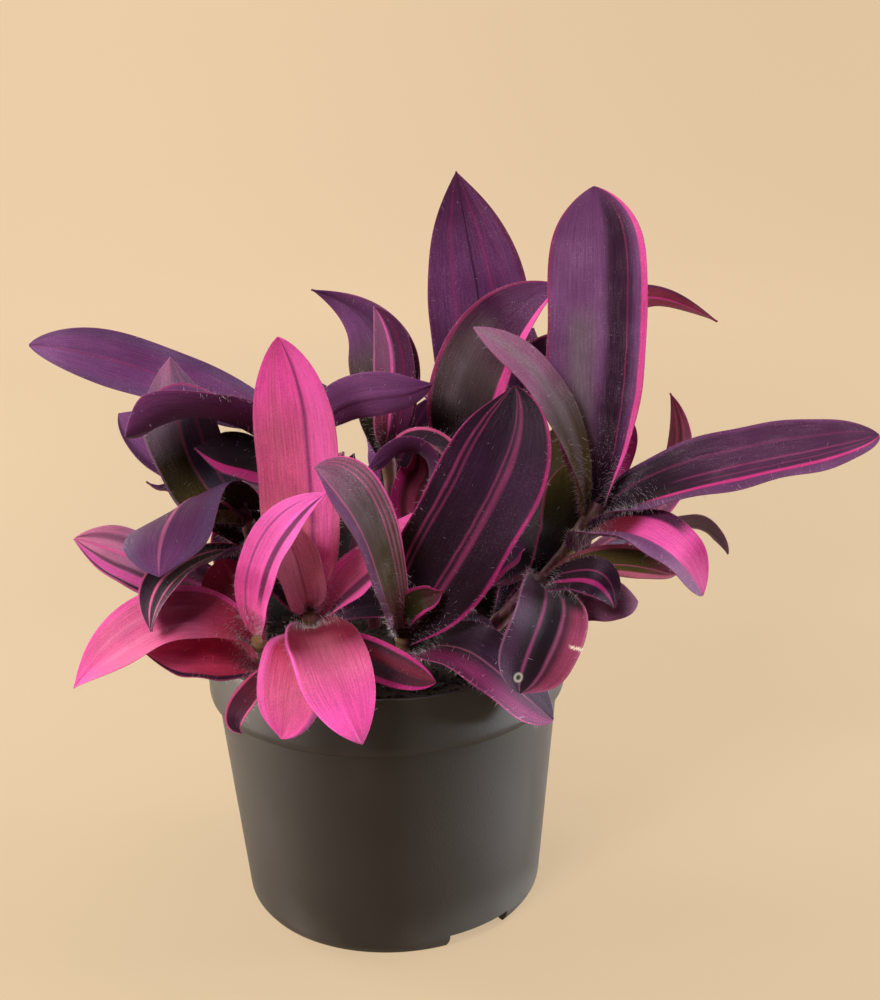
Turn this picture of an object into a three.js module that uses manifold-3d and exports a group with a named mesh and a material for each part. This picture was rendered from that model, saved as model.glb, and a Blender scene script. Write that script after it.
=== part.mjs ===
// A potted tradescantia: leafy shoots standing in soil, in a plain 12 cm nursery pot.
// Millimetres, +Z up. The origin is the middle of the pot's foot, and -Y is the side that is seen first.
// Each shoot is one body: a stem with its strap-shaped leaves, which wrap the stem where they leave it.

import * as THREE from "three";
import { mergeVertices } from "three/addons/utils/BufferGeometryUtils.js";
import Module from "manifold-3d";

const wasm = await Module();
wasm.setup();

// Driving sizes of the pot
const POT_HEIGHT = 93;
const RIM_RADIUS = 60;
const WALL = 1.4;
const BAND_HEIGHT = 19.7; // the wide band below the rim
const BAND_STEP = 3; // how far the band stands out from the body
const GROOVE = POT_HEIGHT - BAND_HEIGHT; // where the band begins
const BODY_RADIUS = RIM_RADIUS - BAND_STEP; // of the tapering body at the groove
const FOOT_RADIUS = 50;
const FOOT_LIP = 4; // width of the ring that the pot stands on
const POT_SIDES = 36;
const SOIL_SIDES = 32;
const DISC_RADIUS = 20; // flat middle of the floor, which touches the table
const CHANNEL_HEIGHT = 5; // raised ring of the floor that drains
const NOTCH_COUNT = 2;
const NOTCH_ANGLE = -57.5; // degrees from +X to the first notch in the foot
const NOTCH_WIDTH = 23;
const NOTCH_HEIGHT = 4.8;
const NOTCH_DEPTH = 12;
const HOLE_COUNT = 6;
const HOLE_RADIUS = 4;
const HOLE_SIDES = 12;

// Driving sizes of the soil and of the holes that the stems stand in
const SOIL_TOP = 84;
const GAP = 0.3; // clearance between pieces that touch
const SOIL_CLEARANCE = 0.8; // to the corners of the soil's faces, which lie nearest to the wall
const SOCKET_DEPTH = 16;
const SOCKET_SIDES = 8;
const SOCKET_CLEARANCE = 1.1;

// Driving sizes of a shoot
const STEM_RADIUS = 2.4;
const STEM_SIDES = 6;
const STEM_STEPS = 6;
const STEM_RISES = [9, 20]; // heights above its foot of the points that hold a stem upright
const BURIED = 0.4; // share of a stem's curve that lies in the soil
const BLADE_THICKNESS = 1;
const BLADE_FACES = { rows: 8, columns: 4 }; // from root to tip, and from margin to margin
const NARROW_FACES = { rows: 6, columns: 2 };
const NARROW = 18.5; // a leaf less wide than this has fewer faces
const ROOT_WIDTH = 0.34; // share of the full width that a leaf has where it wraps the stem
const ROOT_WRAP = 1.8; // half-angle, in radians, that the leaf takes round its stem
const WRAP_END = 0.22; // how far along its length the wrap has opened into the blade
const TIP_HALF_WIDTH = 0.5;
const TIP_CROWDING = 1.3; // above 1, the rows of faces lie closer together towards the tip
const LEAF_COLOUR = 0x4b2748;
const PINK_COLOURS = { pink_front: 0xd8418f, pink_left: 0xc43a80 };

const vector = (p) => new THREE.Vector3(...p);
const clamp01 = (x) => Math.min(1, Math.max(0, x));
const smooth = (x) => clamp01(x) ** 2 * (3 - 2 * clamp01(x));

// One leaf: "on" is how far up the stem it leaves, the three points are a third of the way along
// its rib, two thirds, and its tip. "face" is where the upper side looks in mid-leaf, "end" where
// it looks at the tip, and "fold" is the half-angle of the channel that the blade bends into.
// "widest" is the share of its length where it is widest, and "blunt" how long it then stays wide.
// "taper" is 1 for a sharp tip and less for a rounder one.
function leaf(name, shape, third, twoThirds, tip) {
  const usual = { end: null, fold: 0.5, widest: 0.42, blunt: 1.8, taper: 0.85 };
  return { name, ...usual, ...shape, third, twoThirds, tip };
}

const SHOOTS = {
  pink_front: {
    stem: [[-16, -26], [-23, -33, 102], [-23, -35, 112]],
    leaves: [
      leaf("tall", { on: 0.9, wide: 25, face: [-0.1, -1, 0.1], blunt: 2.2, widest: 0.42, taper: 0.72 },
        [-24, -34, 140], [-24.5, -34, 169], [-28, -36, 197]),
      leaf("over_rim", { on: 0.8, wide: 22, face: [0, -0.4, 1], end: [0.1, -1, 0.2], fold: 0.35 },
        [-19, -60, 113], [-14, -72, 104], [-8, -76, 87]),
      leaf("over_rim_left", { on: 0.5, wide: 20, face: [0, -0.4, 1], end: [-0.1, -1, 0.2], fold: 0.4 },
        [-26, -56, 108], [-28, -68, 99], [-31, -72, 88]),
      leaf("right", { on: 0.75, wide: 17, face: [-0.4, -0.6, 0.7], fold: 0.6 },
        [-10, -31, 120], [1, -29.5, 128.5], [16.8, -25.0, 142.4]),
      leaf("inner", { on: 1, wide: 14, face: [0.3, -0.95, 0], fold: 0.7 },
        [-24, -42, 122], [-26, -45, 134], [-30, -46, 147]),
      leaf("lip", { on: 0.4, wide: 13, face: [0, -0.7, 0.7] },
        [-11, -46, 103], [2, -54, 100], [14, -58, 97]),
    ],
  },
  pink_left: {
    stem: [[-36, -24], [-39, -33, 96], [-39, -37, 105]],
    leaves: [
      leaf("arch", { on: 0.9, wide: 14, face: [-0.5, -0.85, 0], end: [-0.3, -0.8, 0.5], taper: 1 },
        [-38, -48, 125], [-30, -56, 144], [-15, -58, 156]),
      leaf("wing", { on: 0.7, wide: 22.5, face: [0, -0.5, 0.9], end: [-0.5, -0.7, 0.5], taper: 1 },
        [-55, -40, 114], [-74, -46, 112], [-93, -50, 97]),
      leaf("under", { on: 0.4, wide: 19, face: [0, -0.5, 0.85], taper: 1 },
        [-52, -38.5, 99.3], [-62, -41, 102], [-73, -43, 104.5]),
      leaf("shade", { on: 0.95, wide: 19, face: [0.2, -0.95, 0.2], fold: 0.6 },
        [-44, -31.5, 112], [-48, -26, 119], [-51, -20, 125.5]),
      leaf("drip", { on: 0.25, wide: 8, face: [0, -0.4, 0.9], end: [-0.3, -0.9, 0.2],
        fold: 0.8, taper: 1 },
        [-37, -50, 97], [-43.5, -61, 93], [-43, -63, 86]),
    ],
  },
  left_low: {
    stem: [[-42, -2], [-42, -4, 119], [-43, -6, 134]],
    leaves: [
      leaf("curl", { on: 0.6, wide: 28, face: [0.65, -0.3, -0.7], end: [-0.1, 1, 0],
        fold: 0.5, widest: 0.68, taper: 0.9 },
        [-51, -8, 141], [-61.5, -30, 144.5], [-64.7, -52, 131]),
      leaf("hook", { on: 0.72, wide: 19, face: [-0.3, -0.5, 0.8], end: [-0.7, -0.6, 0.3],
        fold: 0.7, taper: 1 },
        [-55, -27, 128], [-64, -45, 126], [-68, -55, 115.5]),
      leaf("side", { on: 0.35, wide: 23, face: [0.1, -0.6, 0.8], blunt: 2.2, taper: 0.8 },
        [-64, -20, 118.5], [-78, -28, 128.5], [-92, -35, 138.5]),
      leaf("sickle", { on: 1, wide: 25, face: [0.4, -0.8, 0.4], end: [0.2, -0.95, 0.1],
        fold: 0.6, taper: 1 },
        [-57, -6, 147], [-63, -6, 166], [-64, -4, 187]),
      leaf("far", { on: 0.9, wide: 23, face: [0.2, -0.6, 0.7], fold: 0.6 },
        [-59, 8, 145], [-73, 12, 156], [-85, 14, 166]),
      leaf("sliver", { on: 0.6, wide: 4, face: [0, -0.4, 0.9], fold: 0.6, taper: 1 },
        [-66, 16, 136], [-73, 18, 139], [-79, 20, 141]),
      leaf("below", { on: 0.45, wide: 15, face: [0.1, -1, 0.1] },
        [-48, 5, 112], [-50.5, 8, 122], [-51.5, 10, 131]),
    ],
  },
  left_tall: {
    stem: [[-24, 6], [-26, 4, 137], [-27, 2, 163]],
    leaves: [
      leaf("long", { on: 0.95, wide: 20, face: [0.1, -0.8, 0.6], end: [0.05, -0.9, 0.4],
        fold: 0.35, blunt: 1.95, taper: 0.7 },
        [-55, 12, 171.5], [-82, 10, 183.5], [-109, 4, 191]),
      leaf("folded", { on: 0.85, wide: 32, face: [0, -0.05, 1], end: [0, 0.7, 0.7], fold: 1.2,
        blunt: 2.6, taper: 0.7 },
        [-50, -20, 171], [-62, -30, 172.5], [-74, -36, 169.5]),
      leaf("dark", { on: 0.6, wide: 22, face: [0, -0.6, 0.8], fold: 0.6, taper: 1 },
        [-37, -12, 152], [-46, -19, 157], [-56, -23, 162]),
      leaf("right", { on: 0.9, wide: 16, face: [0, 1, 0.35], fold: 0.3 },
        [-10, -8, 171.5], [3, -12, 174.5], [17, -16, 178]),
      leaf("right_back", { on: 0.75, wide: 10, face: [0, -0.4, 0.9] },
        [-19, 10, 169], [-15, 14, 170], [-11, 16, 171]),
      leaf("low", { on: 0.3, wide: 17.5, face: [0, -0.5, 0.9] },
        [-17.5, -8, 122], [-12, -13, 139], [-8, -17, 157]),
      leaf("below", { on: 0.2, wide: 18, face: [0, -0.9, 0.4] },
        [-30, 10, 106], [-36, 13, 112], [-41, 14, 119]),
    ],
  },
  back_left: {
    stem: [[-4, 22], [3, 22, 124], [3, 22, 148]],
    leaves: [
      leaf("hooked", { on: 0.9, wide: 24, face: [0, -1, 0.1], end: [0.5, -0.7, -0.4],
        blunt: 1.1, taper: 1 },
        [3, 26, 168], [-0.5, 28, 188], [-20.5, 26, 203]),
      leaf("young", { on: 1, wide: 16, face: [0.35, -0.9, 0], fold: 0.8 },
        [4, 18, 163], [5, 17, 181], [0, 16, 198]),
      leaf("rearward", { on: 0.6, wide: 18, face: [0, -0.9, 0.3] },
        [8, 32, 138], [14, 36, 150], [19, 40, 163]),
    ],
  },
  back_mid: {
    stem: [[14, 16], [25, 14, 122], [27, 10, 149]],
    leaves: [
      leaf("spear", { on: 0.9, wide: 33.5, face: [0, -1, 0.1], fold: 0.35, blunt: 1.6, taper: 1 },
        [35, 20, 178], [33, 22, 210], [28, 20, 240]),
      leaf("arch", { on: 0.95, wide: 24, face: [-0.1, -1, 0.1], end: [-0.4, -0.85, 0.3],
        fold: 0.45, taper: 1 },
        [27, -2, 167], [36, -10, 191], [57, -16, 207]),
      leaf("behind", { on: 0.85, wide: 18, face: [0, -1, 0.2], fold: 0.4 },
        [43, 24, 164], [56, 30, 175], [74, 33, 187]),
      leaf("rearward", { on: 0.5, wide: 18, face: [0.1, 0.3, 0.9] },
        [27, 24, 124], [22, 38, 128], [14, 52, 126]),
    ],
  },
  right_tall: {
    stem: [[30, -10], [54, -18, 117], [69, -15, 137]],
    leaves: [
      leaf("blade", { on: 0.98, wide: 30.5, face: [-0.2, -1, 0.05], fold: 0.4, blunt: 2.6,
        widest: 0.53, taper: 0.75 },
        [67, -18, 171], [67, -22, 204], [66, -20, 236]),
      leaf("crossing", { on: 0.92, wide: 15, face: [0.35, -0.7, 0.6], fold: 0.6, taper: 0.8 },
        [56, -28, 166], [44, -32, 185], [29, -30, 197]),
      leaf("reach", { on: 0.9, wide: 30, face: [0, -0.4, 0.92], fold: 0.65, taper: 0.62 },
        [95, -26, 147], [125, -32, 154.8], [151, -34, 161]),
      leaf("bowed", { on: 0.75, wide: 27, face: [0.1, -0.2, 0.95], end: [0.6, -0.5, 0.5],
        fold: 0.7, blunt: 2.3, taper: 0.75 },
        [72, -35, 134], [85, -45, 130.5], [95, -48, 117]),
      leaf("tucked", { on: 0.95, wide: 9, face: [0, -1, 0], fold: 0.4 },
        [77, 2, 144], [81, 6, 153], [79, 8, 164]),
      leaf("slim", { on: 0.85, wide: 12, face: [-0.3, -0.7, 0.7], end: [0, -0.5, 0.85], taper: 1 },
        [74, 20, 182], [92, 28, 196.5], [116, 26, 188]),
      leaf("whip", { on: 0.6, wide: 11, face: [-0.3, -0.9, 0], fold: 0.7, blunt: 1.3, taper: 1 },
        [93, 16, 125], [103, 20, 146], [98.5, 18, 165.5]),
      leaf("grey_tip", { on: 0.55, wide: 14, face: [0, 0.5, 0.85], end: [0.5, 0.4, 0.7] },
        [92, 10, 119], [108, 8, 121], [116, 2, 113]),
      leaf("low", { on: 0.3, wide: 18, face: [0, -0.8, 0.6] },
        [48, -2, 106], [61, 2, 112], [74, 8, 106]),
      leaf("sheath", { on: 0.4, wide: 18, face: [0, -1, 0.2] },
        [57, -10, 120], [60, -5, 134], [60, -2, 147]),
    ],
  },
  right_low: {
    stem: [[26, -24], [42, -28, 111], [50, -30, 119]],
    leaves: [
      leaf("olive", { on: 0.8, wide: 14, face: [0, -0.5, 0.85], fold: 0.6 },
        [67, -29, 121.5], [80, -32, 121.5], [90, -34, 119]),
      leaf("snub", { on: 0.9, wide: 14, face: [0, -0.6, 0.8], end: [0.3, -0.8, 0.5] },
        [56, -44, 123], [63, -50, 124], [68, -50, 115]),
      leaf("round", { on: 0.7, wide: 15, face: [0, -0.7, 0.6], fold: 0.4, blunt: 2.3, taper: 0.7 },
        [61, -30, 110.5], [69, -35, 111.5], [78, -35, 111]),
      leaf("spotted", { on: 0.8, wide: 25, face: [0.35, -0.88, 0.4], blunt: 2.6, taper: 0.85 },
        [49, -50, 117], [43.5, -60, 107], [38, -64, 95]),
    ],
  },
  front_mid: {
    stem: [[6, -28], [5, -33, 96], [5, -36, 104]],
    leaves: [
      leaf("striped", { on: 0.9, wide: 32, face: [-0.1, -0.95, 0.3], fold: 0.45, blunt: 2.2,
        taper: 0.9 },
        [17.5, -45, 129], [33, -46, 157], [40, -39, 181]),
      leaf("bow", { on: 1, wide: 17, face: [0.7, -0.7, 0.1], end: [0.3, -0.85, 0.4],
        blunt: 1.6, widest: 0.65 },
        [1, -54, 128], [-5, -62, 152], [-18, -64, 165]),
      leaf("nub", { on: 0.95, wide: 9, face: [0.3, -0.9, 0.2], fold: 0.7, taper: 1 },
        [8, -46, 117], [12, -48, 120], [17, -48, 122]),
      leaf("spill", { on: 0.6, wide: 22, face: [0.1, -0.5, 0.85], end: [0.1, -0.6, 0.8],
        fold: 0.5, blunt: 2.8, taper: 0.7 },
        [21, -49, 104], [33.4, -54, 97], [49.3, -52, 80.5]),
    ],
  },
  centre: {
    stem: [[12, -8], [18, -8, 108], [20, -8, 120]],
    leaves: [
      leaf("flap", { on: 1, wide: 23, face: [0.1, -0.9, 0.4], end: [0.2, 0.8, 0.5],
        blunt: 1.4, widest: 0.42, taper: 1 },
        [19, -12, 145], [11, -20, 158], [-5, -32, 154]),
      leaf("shadow", { on: 0.6, wide: 18, face: [0, -0.6, 0.8] },
        [26, -18, 115], [36, -15, 122], [46, -11, 122]),
      leaf("fan", { on: 0.8, wide: 31, face: [-0.2, -0.9, 0.4] },
        [41, 3, 120], [56, 8, 138], [61, 11, 158]),
      leaf("low_left", { on: 0.4, wide: 14, face: [0, -0.5, 0.9] },
        [2, -16, 106], [-9, -20, 108], [-18, -20, 103]),
      leaf("low_front", { on: 0.25, wide: 14, face: [0, -0.6, 0.8] },
        [21, -21, 100], [27, -33, 102], [33, -42, 98]),
      leaf("inside", { on: 0.5, wide: 18, face: [-0.1, -1, 0.1], blunt: 2.2, taper: 0.7 },
        [11.3, -11.0, 138.0], [14.7, -11.0, 146.8], [12.8, -14.0, 159.6]),
    ],
  },
  rear_left: {
    stem: [[-22, 30], [-27, 38, 108], [-30, 42, 128]],
    leaves: [
      leaf("high", { on: 1, wide: 22, face: [-0.3, 0.8, 0.5] },
        [-36, 48, 146], [-46, 62, 154], [-58, 78, 152]),
      leaf("drooping", { on: 0.9, wide: 24, face: [-0.3, 0.2, 1] },
        [-46, 56, 128], [-62, 72, 124], [-78, 86, 106]),
      leaf("straight", { on: 0.85, wide: 26, face: [0, 0.2, 1], end: [0, 0.8, 0.5] },
        [-27, 62, 132], [-26, 86, 130], [-28, 106, 112]),
      leaf("low_side", { on: 0.6, wide: 24, face: [-0.2, -0.5, 1], end: [-0.7, 0.2, 0.6] },
        [-49, 37, 123], [-70, 38, 117], [-90, 36, 97]),
      leaf("over_rim", { on: 0.5, wide: 18, face: [0, 0.3, 1], end: [-0.2, 1, 0.2], fold: 0.4 },
        [-29, 58, 107], [-34, 70, 98], [-38, 78, 82]),
    ],
  },
  rear_mid: {
    stem: [[4, 44], [3, 50, 104], [3, 53, 118]],
    leaves: [
      leaf("high", { on: 1, wide: 20, face: [0, 1, 0.3] },
        [5, 58, 136], [4, 66, 149], [3, 80, 154]),
      leaf("drooping", { on: 0.8, wide: 22, face: [0, 0.3, 1], end: [0, 1, 0.3] },
        [6, 72, 118], [10, 90, 112], [12, 102, 96]),
      leaf("over_rim", { on: 0.5, wide: 18, face: [0, 0.4, 1], end: [0, 1, 0.2], fold: 0.4 },
        [-2, 64, 105], [-5, 73, 95], [-7, 78, 80]),
    ],
  },
  rear_right: {
    stem: [[28, 30], [34, 38, 110], [38, 42, 132]],
    leaves: [
      leaf("high", { on: 1, wide: 24, face: [0.1, 1, 0.2], fold: 0.4 },
        [44, 47, 150], [50, 54, 168], [58, 64, 182]),
      leaf("drooping", { on: 0.9, wide: 24, face: [0.3, 0.2, 1] },
        [56, 56, 130], [74, 70, 126], [92, 82, 110]),
      leaf("straight", { on: 0.85, wide: 26, face: [0, 0.2, 1], end: [0, 0.8, 0.5] },
        [38, 62, 134], [42, 86, 134], [48, 108, 118]),
      leaf("inward", { on: 0.95, wide: 22, face: [0, 0.4, 0.9] },
        [28, 50, 148], [20, 60, 158], [10, 72, 162]),
      leaf("over_rim", { on: 0.5, wide: 20, face: [0, 0.3, 1], end: [0.2, 1, 0.2], fold: 0.4 },
        [33, 58, 107], [37, 70, 98], [42, 78, 82]),
      leaf("low_side", { on: 0.35, wide: 18, face: [0.2, 0, 1], end: [0.7, 0.2, 0.6] },
        [57, 40, 101], [73, 41, 100], [86, 41, 85]),
    ],
  },
};

// A closed solid from a list of points and triangles, and back to a mesh.
function solid(positions, triangles) {
  return new wasm.Manifold(new wasm.Mesh({
    numProp: 3,
    vertProperties: new Float32Array(positions),
    triVerts: new Uint32Array(triangles),
  }));
}

function solidFrom(geometry) {
  const bare = geometry.clone();
  bare.deleteAttribute("normal");
  bare.deleteAttribute("uv");
  const merged = mergeVertices(bare, 1e-4);
  return solid(merged.attributes.position.array, merged.index.array);
}

function meshFrom(name, body, { colour, roughness }) {
  const { vertProperties, triVerts } = body.getMesh();
  const geometry = new THREE.BufferGeometry();
  geometry.setAttribute("position", new THREE.BufferAttribute(vertProperties, 3));
  geometry.setIndex(new THREE.BufferAttribute(triVerts, 1));
  geometry.computeVertexNormals();
  const material = new THREE.MeshStandardMaterial({ color: colour, roughness });
  const mesh = new THREE.Mesh(geometry, material);
  mesh.name = name;
  return mesh;
}

function cylinder(radius, bottom, top, sides, x = 0, y = 0) {
  const geometry = new THREE.CylinderGeometry(radius, radius, top - bottom, sides);
  geometry.rotateX(Math.PI / 2);
  geometry.translate(x, y, (bottom + top) / 2);
  return solidFrom(geometry);
}

// Turns a profile of [radius, height] pairs about the Z axis.
function lathe(profile, sides) {
  const geometry = new THREE.LatheGeometry(profile.map(([r, z]) => new THREE.Vector2(r, z)), sides);
  geometry.rotateX(Math.PI / 2);
  return solidFrom(geometry);
}

// The stem: straight up out of its hole in the soil, then a smooth curve through its other points.
function stemCurve([[x, y], middle, top]) {
  const bottom = SOIL_TOP - SOCKET_DEPTH;
  const upright = [0, ...STEM_RISES].map((rise) => [x, y, bottom + rise]);
  const points = [...upright, middle, top];
  return new THREE.CatmullRomCurve3(points.map(vector), false, "centripetal");
}

// Where a leaf leaves its stem, with "on" measured from the soil up to the top.
function rootPoint(curve, on) {
  return curve.getPoint(BURIED + (1 - BURIED) * on);
}

function stemSolid(curve) {
  const ring = new THREE.Shape();
  for (let i = 0; i < STEM_SIDES; i += 1) {
    const angle = (2 * Math.PI * i) / STEM_SIDES;
    const point = [STEM_RADIUS * Math.cos(angle), STEM_RADIUS * Math.sin(angle)];
    if (i === 0) ring.moveTo(...point);
    else ring.lineTo(...point);
  }
  const run = { steps: STEM_STEPS, extrudePath: curve, bevelEnabled: false };
  return solidFrom(new THREE.ExtrudeGeometry(ring, run));
}

// The rib of a leaf: one cubic curve from its root through its two inner points to its tip.
function ribCurve(root, { third, twoThirds, tip }) {
  const [q1, q2, p3] = [third, twoThirds, tip].map(vector);
  const mix = (a, b, c, d) => new THREE.Vector3()
    .addScaledVector(root, a).addScaledVector(q1, b).addScaledVector(q2, c).addScaledVector(p3, d)
    .divideScalar(6);
  return new THREE.CubicBezierCurve3(root, mix(-5, 18, -9, 2), mix(2, -9, 18, -5), p3);
}

// Half the width of a leaf along its length.
function halfWidth(t, { wide, widest, blunt, taper }) {
  const share = t < widest
    ? ROOT_WIDTH + (1 - ROOT_WIDTH) * Math.sin((Math.PI / 2) * (t / widest)) ** 0.9
    : Math.cos((Math.PI / 2) * ((t - widest) / (1 - widest)) ** blunt) ** taper;
  return Math.max(TIP_HALF_WIDTH, (wide / 2) * share);
}

// The directions along a rib: the tangent, and the way the upper side looks. That way is carried
// from mid-leaf to both ends without twist, and then turned towards "end" over the outer half.
function ribFrames(curve, { face, end }, rows) {
  const stations = [];
  for (let i = 0; i <= rows; i += 1) {
    const t = 1 - (1 - i / rows) ** TIP_CROWDING;
    stations.push({ t, point: curve.getPoint(t), along: curve.getTangent(t) });
  }
  const middle = rows / 2;
  const square = (way, along) => way.clone().addScaledVector(along, -way.dot(along)).normalize();
  stations[middle].up = square(vector(face), stations[middle].along);
  const carry = (from, to) => {
    const turn = new THREE.Quaternion().setFromUnitVectors(from.along, to.along);
    to.up = square(from.up.clone().applyQuaternion(turn), to.along);
  };
  for (let i = middle; i < rows; i += 1) carry(stations[i], stations[i + 1]);
  for (let i = middle; i > 0; i -= 1) carry(stations[i], stations[i - 1]);
  if (end) {
    const last = stations[rows];
    const wanted = square(vector(end), last.along);
    const across = new THREE.Vector3().crossVectors(last.along, last.up);
    const twist = Math.atan2(wanted.dot(across), wanted.dot(last.up));
    for (const s of stations) s.up.applyAxisAngle(s.along, twist * smooth((s.t - 0.35) / 0.65));
  }
  return stations;
}

// A leaf as a thin closed solid: an arched strip that wraps its stem at the root, opens into a
// channelled blade and narrows to a point. Both sides are split into the same triangles.
function leafSolid(root, row) {
  const { rows, columns } = row.wide < NARROW ? NARROW_FACES : BLADE_FACES;
  const stations = ribFrames(ribCurve(root, row), row, rows);
  const upper = [];
  const lower = [];
  for (const { t, point, along, up } of stations) {
    const across = new THREE.Vector3().crossVectors(along, up);
    const opened = smooth(t / WRAP_END);
    const bend = ROOT_WRAP + (row.fold * (1 - 0.35 * t) - ROOT_WRAP) * opened;
    const radius = halfWidth(t, row) / bend;
    for (let j = 0; j <= columns; j += 1) {
      const angle = ((2 * j) / columns - 1) * bend;
      const normal = up.clone().multiplyScalar(Math.cos(angle)).addScaledVector(across, -Math.sin(angle));
      const middle = point.clone()
        .addScaledVector(up, radius - STEM_RADIUS * (1 - opened))
        .addScaledVector(normal, -radius);
      upper.push(...middle.clone().addScaledVector(normal, BLADE_THICKNESS / 2).toArray());
      lower.push(...middle.clone().addScaledVector(normal, -BLADE_THICKNESS / 2).toArray());
    }
  }
  return solid([...upper, ...lower], stripTriangles(rows, columns));
}

// The triangles of two like grids, one above the other, joined all round.
function stripTriangles(rows, columns) {
  const wide = columns + 1;
  const under = (rows + 1) * wide;
  const faces = [];
  const quad = (a, b, c, d) => faces.push(a, b, c, a, c, d);
  for (let i = 0; i < rows; i += 1) {
    for (let j = 0; j < columns; j += 1) {
      const a = i * wide + j;
      const [b, c, d] = [a + 1, a + wide + 1, a + wide];
      faces.push(a, c, d, a, b, c);
      faces.push(under + a, under + d, under + c, under + a, under + c, under + b);
    }
    const left = i * wide;
    const right = left + columns;
    quad(left, left + wide, under + left + wide, under + left);
    quad(right, under + right, under + right + wide, right + wide);
  }
  for (let j = 0; j < columns; j += 1) {
    const last = rows * wide + j;
    quad(j, under + j, under + j + 1, j + 1);
    quad(last, last + 1, under + last + 1, under + last);
  }
  return faces;
}

// Every leaf and stem of a shoot, each as its own solid, before they are fused.
function shootPieces({ stem, leaves }) {
  const curve = stemCurve(stem);
  return {
    stem: stemSolid(curve),
    leaves: leaves.map((row) => ({ name: row.name, body: leafSolid(rootPoint(curve, row.on), row) })),
  };
}

// The fused shoot. Pockets that leaves close between them are filled, so that one solid is left.
function shoot(row) {
  const { stem, leaves } = shootPieces(row);
  const fused = leaves.reduce((body, { body: blade }) => body.add(blade), stem);
  const shells = fused.decompose();
  return shells.reduce((largest, shell) => (shell.volume() > largest.volume() ? shell : largest));
}

// The outer radius of the tapering body at a height, below the band.
function outerRadius(z) {
  return FOOT_RADIUS + ((BODY_RADIUS - FOOT_RADIUS) * z) / GROOVE;
}

// A thin moulded shell with a wide band below its rim, a ring to stand on with notches in it, and
// a raised channel with holes round the middle of its floor.
function pot() {
  const inner = (z) => [outerRadius(z) - WALL, z];
  const profile = [
    [0, 0], [DISC_RADIUS, 0], [DISC_RADIUS + 3, CHANNEL_HEIGHT - WALL],
    [FOOT_RADIUS - FOOT_LIP - 1, CHANNEL_HEIGHT - WALL], [FOOT_RADIUS - FOOT_LIP, 0],
    [FOOT_RADIUS - 2, 0], [outerRadius(3), 3], [BODY_RADIUS, GROOVE], [BODY_RADIUS + 1.9, GROOVE + 0.8],
    [RIM_RADIUS - 0.4, GROOVE + 3], [RIM_RADIUS, POT_HEIGHT - 0.8], [RIM_RADIUS - WALL, POT_HEIGHT],
    [RIM_RADIUS - WALL - 0.4, GROOVE + 4], inner(GROOVE + 2), inner(CHANNEL_HEIGHT + 3),
    [FOOT_RADIUS - FOOT_LIP - 1, CHANNEL_HEIGHT], [DISC_RADIUS + 2, CHANNEL_HEIGHT],
    [DISC_RADIUS - 1, WALL], [0, WALL],
  ];
  let shell = lathe(profile, POT_SIDES);
  for (let i = 0; i < NOTCH_COUNT; i += 1) {
    const notch = new THREE.BoxGeometry(NOTCH_DEPTH, NOTCH_WIDTH, 2 * NOTCH_HEIGHT);
    notch.translate(FOOT_RADIUS, 0, 0);
    notch.rotateZ(THREE.MathUtils.degToRad(NOTCH_ANGLE + (360 * i) / NOTCH_COUNT));
    shell = shell.subtract(solidFrom(notch));
  }
  const reach = (FOOT_RADIUS + DISC_RADIUS) / 2;
  const [under, over] = [CHANNEL_HEIGHT - 2 * WALL, CHANNEL_HEIGHT + WALL];
  for (let i = 0; i < HOLE_COUNT; i += 1) {
    const angle = (2 * Math.PI * i) / HOLE_COUNT;
    const [x, y] = [reach * Math.cos(angle), reach * Math.sin(angle)];
    shell = shell.subtract(cylinder(HOLE_RADIUS, under, over, HOLE_SIDES, x, y));
  }
  return shell;
}

// The soil fills the pot, clear of its wall and floor, with a plain hole for each stem.
function soil() {
  const inner = (z) => [outerRadius(z) - WALL - SOIL_CLEARANCE, z];
  const bandInside = RIM_RADIUS - WALL - 0.4 - SOIL_CLEARANCE;
  const profile = [
    [0, WALL + GAP], [DISC_RADIUS - 1.3, WALL + GAP], [DISC_RADIUS + 1.8, CHANNEL_HEIGHT + GAP],
    [FOOT_RADIUS - FOOT_LIP - 1.2, CHANNEL_HEIGHT + GAP], inner(CHANNEL_HEIGHT + 3.2), inner(GROOVE + 2.2),
    [bandInside, GROOVE + 4.4], [bandInside, SOIL_TOP - 2], [RIM_RADIUS - 8, SOIL_TOP - 0.8],
    [34, SOIL_TOP], [0, SOIL_TOP + 0.6],
  ];
  let fill = lathe(profile, SOIL_SIDES);
  const bottom = SOIL_TOP - SOCKET_DEPTH - GAP;
  const above = SOIL_TOP + WALL;
  for (const { stem: [[x, y]] } of Object.values(SHOOTS)) {
    fill = fill.subtract(cylinder(STEM_RADIUS + SOCKET_CLEARANCE, bottom, above, SOCKET_SIDES, x, y));
  }
  return fill;
}

const plant = new THREE.Group();
plant.add(meshFrom("pot", pot(), { colour: 0x3b3735, roughness: 0.45 }));
plant.add(meshFrom("soil", soil(), { colour: 0x1d140f, roughness: 0.95 }));
for (const [name, row] of Object.entries(SHOOTS)) {
  const colour = PINK_COLOURS[name] ?? LEAF_COLOUR;
  plant.add(meshFrom(`shoot_${name}`, shoot(row), { colour, roughness: 0.5 }));
}

export default plant;
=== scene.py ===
# %% [markdown]
# # A potted tradescantia
# The plant is thirteen leafy shoots that stand in dark soil in a moulded nursery pot. Its leaves are straps
# that wrap their stem at the root, fold into a shallow channel and run to a point. Hot pink, violet, olive
# and near-black stripes follow each leaf from root to tip.
#
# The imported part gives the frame: sizes, places and the body that all pieces ride on. This script keeps
# the forms and rebuilds them finely: a smooth pot, soil with crumbs, and blades with ribs, stripes and
# hairs. Lengths in the tables are millimetres, as on the part, and the meshes are in metres.

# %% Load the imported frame
import math

import bpy
import numpy as np
from mathutils import Matrix, Quaternion, Vector, noise


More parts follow.
